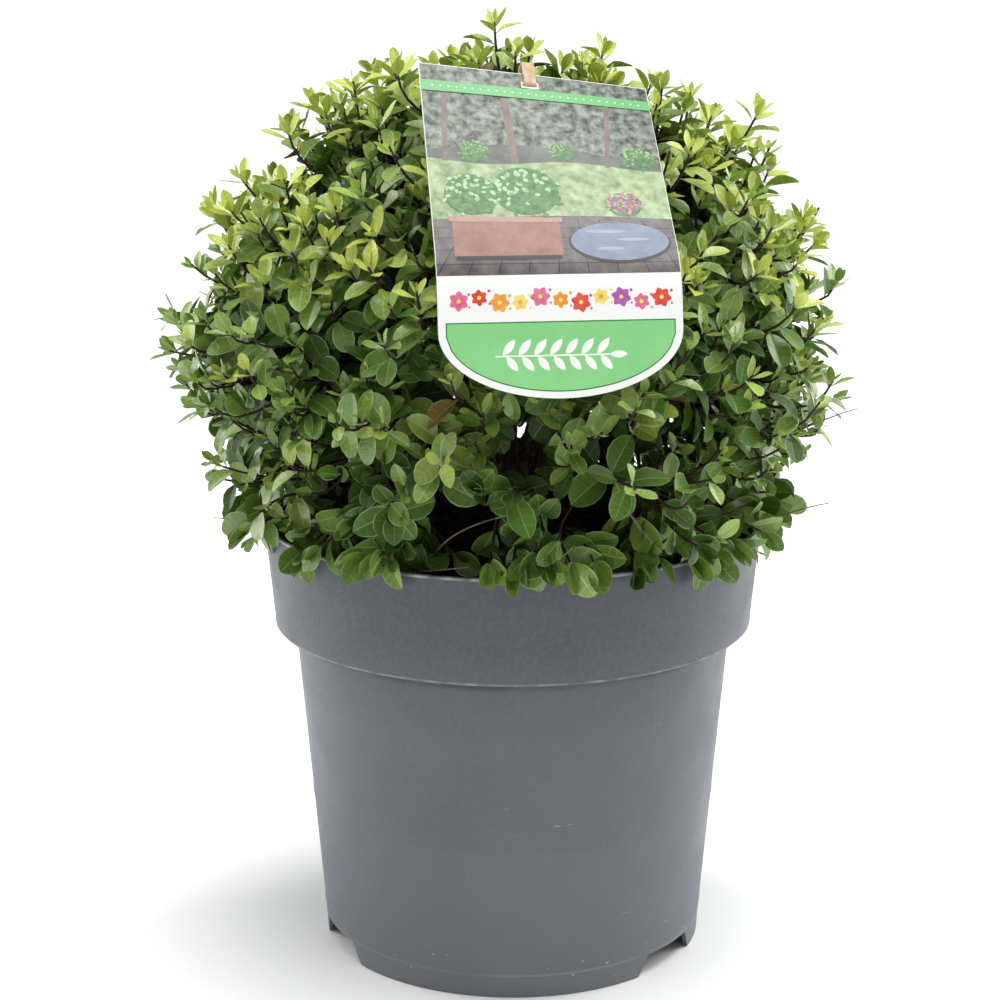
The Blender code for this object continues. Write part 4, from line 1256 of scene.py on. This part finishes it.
def dress(shoot, own, foliage, dice):
    """Leaves in a spiral back from the tip: small and upright first, then wide and open."""
    zone = zone_of(shoot)
    (tip_count, total), young_tones, older_tones = ZONES[zone]
    young, older = drawn(dice, young_tones), drawn(dice, older_tones)
    if shoot.kind == "long" and zone == "top":
        young, older = "bright", "young"
    spin = dice.uniform(0, FULL_TURN)
    vigour = dice.uniform(0.86, 1.14)
    hanging = zone in ("hang", "low")
    reach = FREE_REACH if shoot.kind in ("hang", "long") else BALL_REACH + max(0.0, shoot.swollen)
    distance = 0.0002
    if shoot.kind == "side" and dice.random() < CLIPPED_SHARE:
        distance = dice.uniform(0.004, 0.009)
    outer = shoot.kind == "low" or abs(shoot.outward.x) > WIDEST_FROM_X
    for number in range(total):
        spot = shoot.back_from_tip(distance)
        if spot is None or crown_share(spot[0]) < (LEAST_OUTER if outer else LEAST_DEPTH):
            break
        root, ahead = spot
        if number < tip_count:
            age = 0.10 * number
            size = 0.36 + 0.10 * number
            opening = math.radians(18 + 11 * number)
            distance += 0.0008
        else:
            age = min(1.0, 0.45 + (number - tip_count) / 4)
            size = 0.58 + 0.42 * age
            opening = math.radians(38 + 34 * age)
            distance += 0.0030 + 0.0022 * age + (0.0008 if zone == "low" else 0.0)
        if hanging:
            age = max(age, 0.8)
            size = max(size, 0.70) + (0.24 if zone == "hang" else 0.04)
        size *= vigour * dice.uniform(0.82, 1.12)
        opening += math.radians(dice.uniform(-10, 10))
        group = tone_at(root, crown_share(root), zone, young if number <= tip_count else older)
        if number > 5 and dice.random() < BRONZE_SHARE:
            group = "bronze"
        for attempt in range(4):
            turn = spin + number * GOLDEN_ANGLE + attempt * 2.1
            side = ahead.orthogonal().normalized()
            side.rotate(Matrix.Rotation(turn, 3, ahead))
            direction = ahead * math.cos(opening) + side * math.sin(opening)
            face = ahead * math.sin(opening) - side * math.cos(opening)
            outward = (root - CROWN).normalized()
            light = UP * dice.uniform(0.5, 1.7) + outward * dice.uniform(-0.25, 0.25)
            if hanging:
                drop = 0.55 if zone == "hang" else 0.30
                direction = (direction + outward * 0.25 - UP * drop).normalized()
                light = UP * 0.30 + Vector((outward.x, outward.y, 0.0)) * 1.3
            face = face + light
            face = (face - direction * face.dot(direction)).normalized()
            length = LEAF_LENGTH * size * (1 - 0.09 * attempt)
            ratio = 0.45 + (0.23 if hanging else 0.17) * age
            width = length * ratio * dice.uniform(0.86, 1.12)
            bend = 1.3 if number >= tip_count else -0.9
            if foliage.add(own, group, root, direction, face, length, width, reach, bend, age):
                break


def leaf_template(rows, plain):
    """The faces of a leaf, row by row: margins, blades and rib on either side."""
    parts = (0, 1, 0) if plain else (2, 0, 1, 0, 2)
    wide = len(parts) + 1
    faces, slots = [], []
    for row in range(len(rows) - 1):
        for column, part in enumerate(parts):
            a = row * wide + column
            faces.append((a, a + 1, a + wide + 1, a + wide))
            slots.append(part if row else 1)
    return wide, np.array(faces), np.array(slots)


def half_widths(rows, foot, tip):
    """Half the width along each leaf, from 0 to 1: a blunt oval or a pointed one."""
    blade = np.clip((rows[None, :] - PETIOLE_SHARE) / (1 - PETIOLE_SHARE), 0.0, 1.0)
    widest = foot / (foot + tip)
    return blade**foot * (1 - blade) ** tip / (widest**foot * (1 - widest) ** tip)


def leaf_points(leaves, rows, plain):
    """The points of many leaves, and how far across and along its blade each point lies."""
    frames = np.array([[tuple(leaf[k]) for k in range(4)] for leaf in leaves])
    shape = np.array([leaf[4] for leaf in leaves])
    length, width, *_, foot, tip = (shape[:, k, None] for k in range(9))
    half = np.maximum(half_widths(rows, foot, tip) * width / 2, PETIOLE_HALF)
    half[:, -1] = TIP_HALF
    rib = np.minimum(RIB_HALF * (1 - 0.7 * rows)[None, :] * (width / LEAF_WIDTH), 0.3 * half)
    margin = MARGIN_SHARE * half
    lines = [-half, -rib, rib, half] if plain else [-half, -margin, -rib, rib, margin, half]
    columns = np.stack(lines, 2)
    length, width, fold, droop, wave, phase, twist = (shape[:, k, None, None] for k in range(7))
    rows = rows[None, :, None]
    z = fold * np.abs(columns)
    z -= droop * length * 1.35 * np.clip(rows - 0.15, 0, None) ** 1.8
    ripple = np.sin(FULL_TURN * 1.6 * rows + phase) * np.sign(columns) * 0.5
    ripple = ripple + np.sin(9 * rows + 2 * phase)
    z += EDGE_WAVE * wave * ripple * (np.abs(columns) / (width / 2)) ** 2 * (length / LEAF_LENGTH)
    z += twist * columns * rows
    z[:, :, len(lines) // 2 - 1 : len(lines) // 2 + 1] -= RIB_SUNK
    root, direction, across, up = (frames[:, k][:, None, None, :] for k in range(4))
    points = root + direction * (rows * length)[..., None]
    points = points + across * columns[..., None] + up * z[..., None]
    blade = [np.abs(columns) / half[:, :, None], np.broadcast_to(rows, columns.shape)]
    return points.reshape(-1, 3), np.stack(blade, 3).reshape(-1, 2)


def leaves_piece(name, leaves, materials, plain):
    """One mesh of many leaves, made from arrays."""
    rows = np.array(PLAIN_ROWS if plain else LEAF_ROWS)
    wide, faces, slots = leaf_template(rows, plain)
    points, places = leaf_points(leaves, rows, plain)
    offsets = (np.arange(len(leaves)) * len(rows) * wide)[:, None, None]
    quads = (faces[None] + offsets).reshape(-1, 4)
    mesh = bpy.data.meshes.new(name)
    mesh.vertices.add(len(points))
    mesh.vertices.foreach_set("co", points.astype(np.float32).ravel())
    mesh.loops.add(quads.size)
    mesh.loops.foreach_set("vertex_index", quads.astype(np.int32).ravel())
    mesh.polygons.add(len(quads))
    mesh.polygons.foreach_set("loop_start", np.arange(0, quads.size, 4, dtype=np.int32))
    mesh.polygons.foreach_set("material_index", np.tile(slots, len(leaves)).astype(np.int32))
    blade_map = mesh.uv_layers.new(name=BLADE_MAP)
    mesh.update(calc_edges=True)
    blade_map.data.foreach_set("uv", places[quads.ravel()].astype(np.float32).ravel())
    mesh.validate()
    mesh.shade_smooth()
    for material in materials:
        mesh.materials.append(material)
    return shown(name, mesh)


def build_crown(spaces, guard):
    dice = random.Random(SEED)
    stems = grow_twigs(spaces, dice)
    shoots = grow_shoots(spaces, guard, dice)
    build_twigs(spaces, stems, shoots)
    shoots.sort(key=lambda shoot: shoot.kind not in ("long", "hang"))
    foliage = Foliage(guard, shoots, dice)
    for number, shoot in enumerate(shoots):
        dress(shoot, number, foliage, dice)
    veins = {
        name: grained(name, colour, (0.42, 0.4), (150.0, 1.0), tints(colour, 0.88, 1.12))
        for name, colour in VEINS.items()
    }
    for group, (colour, rib, margin) in TONES.items():
        materials = [leaf_look("leaf_" + group, colour), veins[rib], veins[margin]]
        leaves = foliage.groups[group]
        piece = leaves_piece("leaves_" + group, leaves, materials, group == "shade")
        settle(piece, "foliage", *FOLIAGE)


# Label


def build_label():
    bm = bmesh.new()
    bmesh.ops.create_grid(bm, x_segments=44, y_segments=60, size=1.0)
    for vert in bm.verts:
        u = LABEL_WIDTH / 2 * math.sin(math.pi / 2 * vert.co.x)
        share = (1 - vert.co.y) / 2
        vert.co = label_point(u, LABEL_ABOVE + (label_bottom(u) - LABEL_ABOVE) * share)
    bmesh.ops.recalc_face_normals(bm, faces=bm.faces)
    sheet = shown_bmesh("label_grid", bm)
    out = label_axes(0.0, 0.0)[2]
    thick = sheet.modifiers.new("thickness", "SOLIDIFY")
    thick.thickness = LABEL_THICKNESS
    thick.offset = -1.0 if sheet.data.polygons[0].normal.dot(out) > 0 else 1.0
    axes = Matrix(label_axes(TIE_U, SLOT_V)).transposed().to_4x4()
    axes.translation = label_point(TIE_U, SLOT_V)
    slot = boxed("label_slot", (SLOT_WIDTH, SLOT_HEIGHT, 8 * LABEL_THICKNESS), axes)
    white = print_look("label_white", (0.92, 0.93, 0.90), (0.94, 0.95, 0.92))
    settle(shown("label_sheet", carved(sheet, [slot], white, 40)), "label_sheet", "label")


class Print:
    """Printed areas that lie on the bent sheet, layer upon layer."""

    def __init__(self):
        self.heap = Heap()
        self.slots = {name: slot for slot, name in enumerate(INKS)}

    def patch(self, ink, layer, edge, rows, columns, margin=0.0):
        """An area between two edges: edge(t, sign) gives the (u, v) of either edge at t."""
        points, faces = [], []
        for j in range(rows + 1):
            t = margin + (1.0 - margin - margin) * j / rows
            a, b = edge(t, -1), edge(t, 1)
            for i in range(columns + 1):
                s = i / columns
                u = a[0] + (b[0] - a[0]) * s
                v = a[1] + (b[1] - a[1]) * s
                points.append(label_point(u, v) + label_axes(u, v)[2] * (layer * PRINT_LAYER))
                if i and j:
                    k = len(points) - 1
                    faces.append((k - columns - 2, k - columns - 1, k, k - 1))
        self.heap.add(points, faces, self.slots[ink])

    def area(self, ink, lower, upper, start, end, layer=1, rows=8, columns=40):
        """Between two lines lower(u) and upper(u), from start to end across the sheet."""

        def edge(t, sign):
            u = start + (end - start) * t
            return u, (upper if sign > 0 else lower)(u)

        self.patch(ink, layer, edge, columns, rows)

    def disc(self, ink, u0, v0, wide, high, layer, rows=12, columns=6):
        def edge(t, sign):
            angle = math.pi * (t - 0.5)
            return u0 + sign * wide * math.cos(angle), v0 + high * math.sin(angle)

        self.patch(ink, layer, edge, rows, columns, 0.004)

    def blade(self, ink, u0, v0, turn, length, wide, layer):
        """A small printed leaf or petal."""
        c, s = math.cos(turn), math.sin(turn)

        def edge(t, sign):
            half = sign * wide * math.sin(math.pi * t) ** 0.8
            return u0 + c * length * t - s * half, v0 + s * length * t + c * half

        self.patch(ink, layer, edge, 10, 4, 0.01)

    def bar(self, ink, start, end, half, layer):
        """A straight stroke."""
        a, b = Vector(start), Vector(end)
        along = (b - a).normalized()
        aside = Vector((-along.y, along.x)) * half
        self.patch(ink, layer, lambda t, sign: a.lerp(b, t) + aside * sign, 20, 2)

    def bush(self, ink_dark, ink_light, u0, v0, radius, layer, dice):
        """A round shrub: a dappled disc edged and dotted with small leaves."""
        self.disc(ink_dark, u0, v0, radius, 0.92 * radius, layer, 20, 8)
        for number in range(70):
            reach = radius * math.sqrt((number + 0.5) / 70) * 1.04
            turn = number * GOLDEN_ANGLE
            u = u0 + reach * math.cos(turn)
            v = v0 + 0.92 * reach * math.sin(turn)
            lit = v - v0 + 0.4 * (u0 - u) > dice.uniform(-0.8, 0.5) * radius
            size = radius * dice.uniform(0.16, 0.26)
            ink = ink_light if lit else ink_dark
            self.blade(ink, u, v, dice.uniform(0, FULL_TURN), size, 0.3 * size, layer + 1)


def flat(v):
    return lambda u: v


def wave(middle, rise, turns, phase):
    return lambda u: middle + rise * math.sin(turns * FULL_TURN * u / LABEL_WIDTH + phase)


def print_garden(work, edge, dice):
    """A plain garden: hedge, trees and shrubs, lawn, and paving with a pond and a trough."""
    top = LABEL_ABOVE - 0.0003
    slot_low, slot_high = SLOT_V - SLOT_HEIGHT, SLOT_V + SLOT_HEIGHT
    slot_left = TIE_U - SLOT_WIDTH / 2 - SLOT_MARGIN
    slot_right = TIE_U + SLOT_WIDTH / 2 + SLOT_MARGIN
    lawn_top = wave(0.0475, 0.0012, 1.4, 0.6)
    bank_low = wave(0.0530, 0.0024, 0.8, 2.0)
    paving_top = wave(0.0235, 0.0010, 0.7, 1.0)
    work.area("hedge", bank_low, flat(slot_low), -edge, edge, 1, 12)
    work.area("hedge", flat(slot_low), flat(top), -edge, slot_left, 1, 3)
    work.area("hedge", flat(slot_low), flat(top), slot_right, edge, 1, 3)
    work.area("hedge", flat(slot_high), flat(top), slot_left, slot_right, 1, 2, 4)
    work.area("bank", lawn_top, bank_low, -edge, edge, 1, 4)
    work.area("lawn", paving_top, lawn_top, -edge, edge, 1, 10)
    work.area("paving", flat(0.0005), paving_top, -edge, edge, 1, 10)
    for u, top_u, half in (
        (-0.0345, -0.0325, 0.0009),
        (-0.0105, -0.0117, 0.0013),
        (0.0215, 0.0245, 0.0009),
    ):
        work.bar("stem", (u, 0.047), (top_u, 0.0765), half, 2)
    for u, v, size in ((-0.024, 0.0515, 0.0050), (0.006, 0.0535, 0.0042), (0.033, 0.0520, 0.0058)):
        work.bush("leaf_deep", "lawn", u, v, size, 3, dice)
    for number in range(9):
        u = -0.040 + 0.010 * number
        work.bar("joint", (u, 0.0008), (0.004 + (u - 0.004) * 0.72, 0.0228), 0.00012, 2)
    for v in (0.0045, 0.0100, 0.0148, 0.0190):
        work.bar("joint", (-edge, v), (edge, v), 0.00009, 2)
    work.disc("joint", 0.0215, 0.0128, 0.0172, 0.0088, 3, 28, 10)
    work.disc("slate", 0.0215, 0.0134, 0.0165, 0.0082, 4, 28, 10)
    for u, v, wide in ((0.017, 0.0175, 0.0068), (0.026, 0.0140, 0.0056), (0.018, 0.0100, 0.0048)):
        work.disc("slate_lit", u, v, wide, 0.0007, 5)
    work.area("joint", flat(0.0060), flat(0.0075), -0.0335, 0.0015, 3, 2)
    work.area("clay", flat(0.0075), flat(0.0215), -0.0340, 0.0020, 4, 6)
    work.area("clay_rim", flat(0.0215), flat(0.0236), -0.0350, 0.0030, 5, 2)
    for u, v, size in ((-0.0265, 0.0330, 0.0092), (-0.0080, 0.0350, 0.0112)):
        work.bush("leaf_deep", "leaf_lit", u, v, size, 6, dice)
    work.bush("leaf_deep", "leaf_lit", 0.0250, 0.0300, 0.0060, 3, dice)
    for number in range(26):
        reach = 0.0062 * math.sqrt((number + 0.5) / 26)
        turn = number * GOLDEN_ANGLE
        u, v = 0.0250 + reach * math.cos(turn), 0.0305 + 0.8 * reach * math.sin(turn)
        work.disc("pink" if number % 3 else "violet", u, v, 0.00075, 0.00065, 5, 6, 3)


def print_blossoms(work, edge, dice):
    """A dotted strip over the garden, and a row of blossoms on the white below it."""
    work.area("strip", flat(0.0770), flat(0.0816), -edge, edge, 9, 2)
    for number in range(27):
        work.disc("white", -0.0364 + 0.0028 * number, 0.0793, 0.00035, 0.00035, 10, 6, 3)
    order = "pink red orange yellow pink orange red yellow violet pink red"
    for number, ink in enumerate(order.split()):
        u = -0.0335 + 0.0067 * number
        v = -0.0080 + 0.0011 * math.sin(1.9 * number)
        size = 0.0034 - 0.0006 * (number % 2)
        first = dice.uniform(0, FULL_TURN)
        for petal in range(6):
            work.blade(ink, u, v, first + petal * math.pi / 3, size, 0.36 * size, 1)
        work.disc("yellow" if ink != "yellow" else "orange", u, v, 0.0007, 0.0007, 2, 6, 3)
        work.disc(ink, u + 0.0033, v + 0.0022, 0.0005, 0.0005, 1, 6, 3)
        work.disc(ink, u + 0.0034, v - 0.0020, 0.0004, 0.0004, 1, 6, 3)


def print_panel(work, stem_v=-0.0262):
    """A green panel that follows the round lower edge, with a white sprig."""
    layers = (1, "panel_rim", 0.0024, -0.0150), (2, "panel", 0.0028, -0.0154)
    for layer, ink, margin, high in layers:
        half = LABEL_WIDTH / 2 - margin
        depth = LABEL_ROUND - margin + 0.0002
        side = half - 0.0001

        def low(u):
            return round_edge(u, half, depth)

        work.area(ink, low, flat(high), -side, side, layer, 14, 48)
    work.bar("white", (-0.022, stem_v), (0.016, stem_v), 0.00025, 3)
    turn = math.radians(52)
    for number in range(7):
        u = -0.0195 + 0.0052 * number
        work.blade("white", u, stem_v + 0.0002, turn, 0.0066, 0.0013, 3)
        work.blade("white", u + 0.0012, stem_v - 0.0002, -turn, 0.0060, 0.0013, 3)
    work.blade("white", 0.0158, stem_v, 0.0, 0.0060, 0.0012, 3)


def build_print():
    dice = random.Random(SEED + 9)
    work = Print()
    edge = LABEL_WIDTH / 2 - PRINT_MARGIN
    print_garden(work, edge, dice)
    print_blossoms(work, edge, dice)
    print_panel(work)
    inks = [print_look("ink_" + name, *values) for name, values in INKS.items()]
    settle(work.heap.piece("label_print", inks), "label_sheet", "label")


def dress_tie():
    """The strap keeps its solid: a dry tan band with lengthwise fibres."""
    fibres = (420.0, 4.0, (1.0, 1.0, 0.25))
    stops = (0.3, (0.54, 0.34, 0.19)), (0.7, (0.76, 0.58, 0.40))
    tan = grained("tan_strap", (0.66, 0.47, 0.30), (0.62, 0.3), fibres, stops, (0.0001, 0.8))
    dress_node("label_tie", tan)


# Soil


def build_soil():
    """The fill keeps its solid, and crumbs of bark lie on it."""
    stops = (0.35, (0.008, 0.006, 0.005)), (0.62, (0.030, 0.020, 0.014))
    fine = (900.0, 3.0), (0.0008, 0.8)
    look = ("potting_mix", (0.020, 0.014, 0.010), (0.95, 0.2))
    mix = grained(*look, (260.0, 5.0), stops, (0.003, 1.0), fine)
    dress_node("potting_soil", mix)
    stops = (0.3, (0.030, 0.018, 0.012)), (0.7, (0.085, 0.052, 0.032))
    look = ("bark_chip", (0.060, 0.036, 0.022), (0.9, 0.2))
    chip = grained(*look, (300.0, 4.0), stops, (0.0008, 0.9))
    dice = random.Random(SEED + 5)
    heap = Heap()
    for number in range(CRUMB_COUNT):
        radius = CRUMB_REACH * math.sqrt(dice.random())
        turn = dice.uniform(0, FULL_TURN)
        if radius < FLARE_RADIUS + CRUMB_CLEAR:
            continue
        size = dice.uniform(*CRUMB_SIZES)
        height = SOIL_TOP - (CRUMB_DIP if radius > CRUMB_DIP_FROM else 0.0) + 0.25 * size
        place = Vector((radius * math.cos(turn), radius * math.sin(turn), height))
        bm = bmesh.new()
        bmesh.ops.create_icosphere(bm, subdivisions=1, radius=size)
        stretch = Matrix.Diagonal((dice.uniform(0.7, 1.7), dice.uniform(0.6, 1.1), 0.55, 1.0))
        spin = Matrix.Rotation(dice.uniform(0, 6.28), 4, "Z")
        tilt = Matrix.Rotation(dice.uniform(-0.5, 0.5), 4, "X")
        whole = Matrix.Translation(place) @ spin @ tilt @ stretch
        points = [whole @ (v.co * dice.uniform(0.82, 1.18)) for v in bm.verts]
        heap.add(points, [[v.index for v in f.verts] for f in bm.faces], 0 if number % 4 else 1)
        bm.free()
    settle(heap.piece("soil_crumbs", [mix, chip]), "potting_mix")


# Stage


def build_lamp(kind, name, place, aim_height, energy, size):
    light = bpy.data.lights.new(name, kind)
    light.energy = energy
    if kind == "SUN":
        light.angle = math.radians(size)
    else:
        light.shape = "RECTANGLE"
        light.size, light.size_y = size
    lamp = shown(name, light)
    lamp.location = place
    lamp.rotation_mode = "QUATERNION"
    aim = Vector((0.0, 0.0, aim_height)) - Vector(place)
    lamp.rotation_quaternion = aim.to_track_quat("-Z", "Y")


def build_stage():
    bm = bmesh.new()
    bmesh.ops.create_grid(bm, x_segments=2, y_segments=2, size=30.0)
    floor = shown_bmesh("studio_floor", bm)
    floor.data.materials.append(Look("floor_white", (0.96, 0.96, 0.96), 0.9, 0.1).material)

    scene = bpy.context.scene
    scene.view_settings.view_transform = "Standard"
    scene.world = bpy.data.worlds.new("studio")
    scene.world.use_nodes = True
    tree = scene.world.node_tree
    backdrop = tree.nodes["Background"]
    backdrop.inputs["Color"].default_value = (1.0, 1.0, 1.0, 1.0)
    seen = tree.nodes.new("ShaderNodeLightPath").outputs["Is Camera Ray"]
    strength = tree.nodes.new("ShaderNodeMapRange")
    strength.inputs["To Min"].default_value = SKY_STRENGTH
    tree.links.new(seen, strength.inputs["Value"])
    tree.links.new(strength.outputs["Result"], backdrop.inputs["Strength"])
    for lamp in LAMPS:
        build_lamp(*lamp)

    camera = bpy.data.cameras.new("camera")
    camera.lens = CAMERA_LENS
    camera.sensor_width = 36.0
    camera.clip_start = 0.05
    camera.clip_end = 100.0
    scene.camera = shown("camera", camera)
    scene.camera.location = CAMERA_PLACE
    scene.camera.rotation_euler = (math.radians(90 - CAMERA_DIP), 0.0, 0.0)


def main():
    spaces = crown_spaces()
    bark = bark_look("bark_brown", (0.060, 0.034, 0.027), (0.16, 0.12, 0.10), 260.0)
    build_pot()
    build_soil()
    build_limbs(spaces, bark)
    build_crown(spaces, LabelGuard())
    build_label()
    build_print()
    dress_tie()
    build_stage()


main()
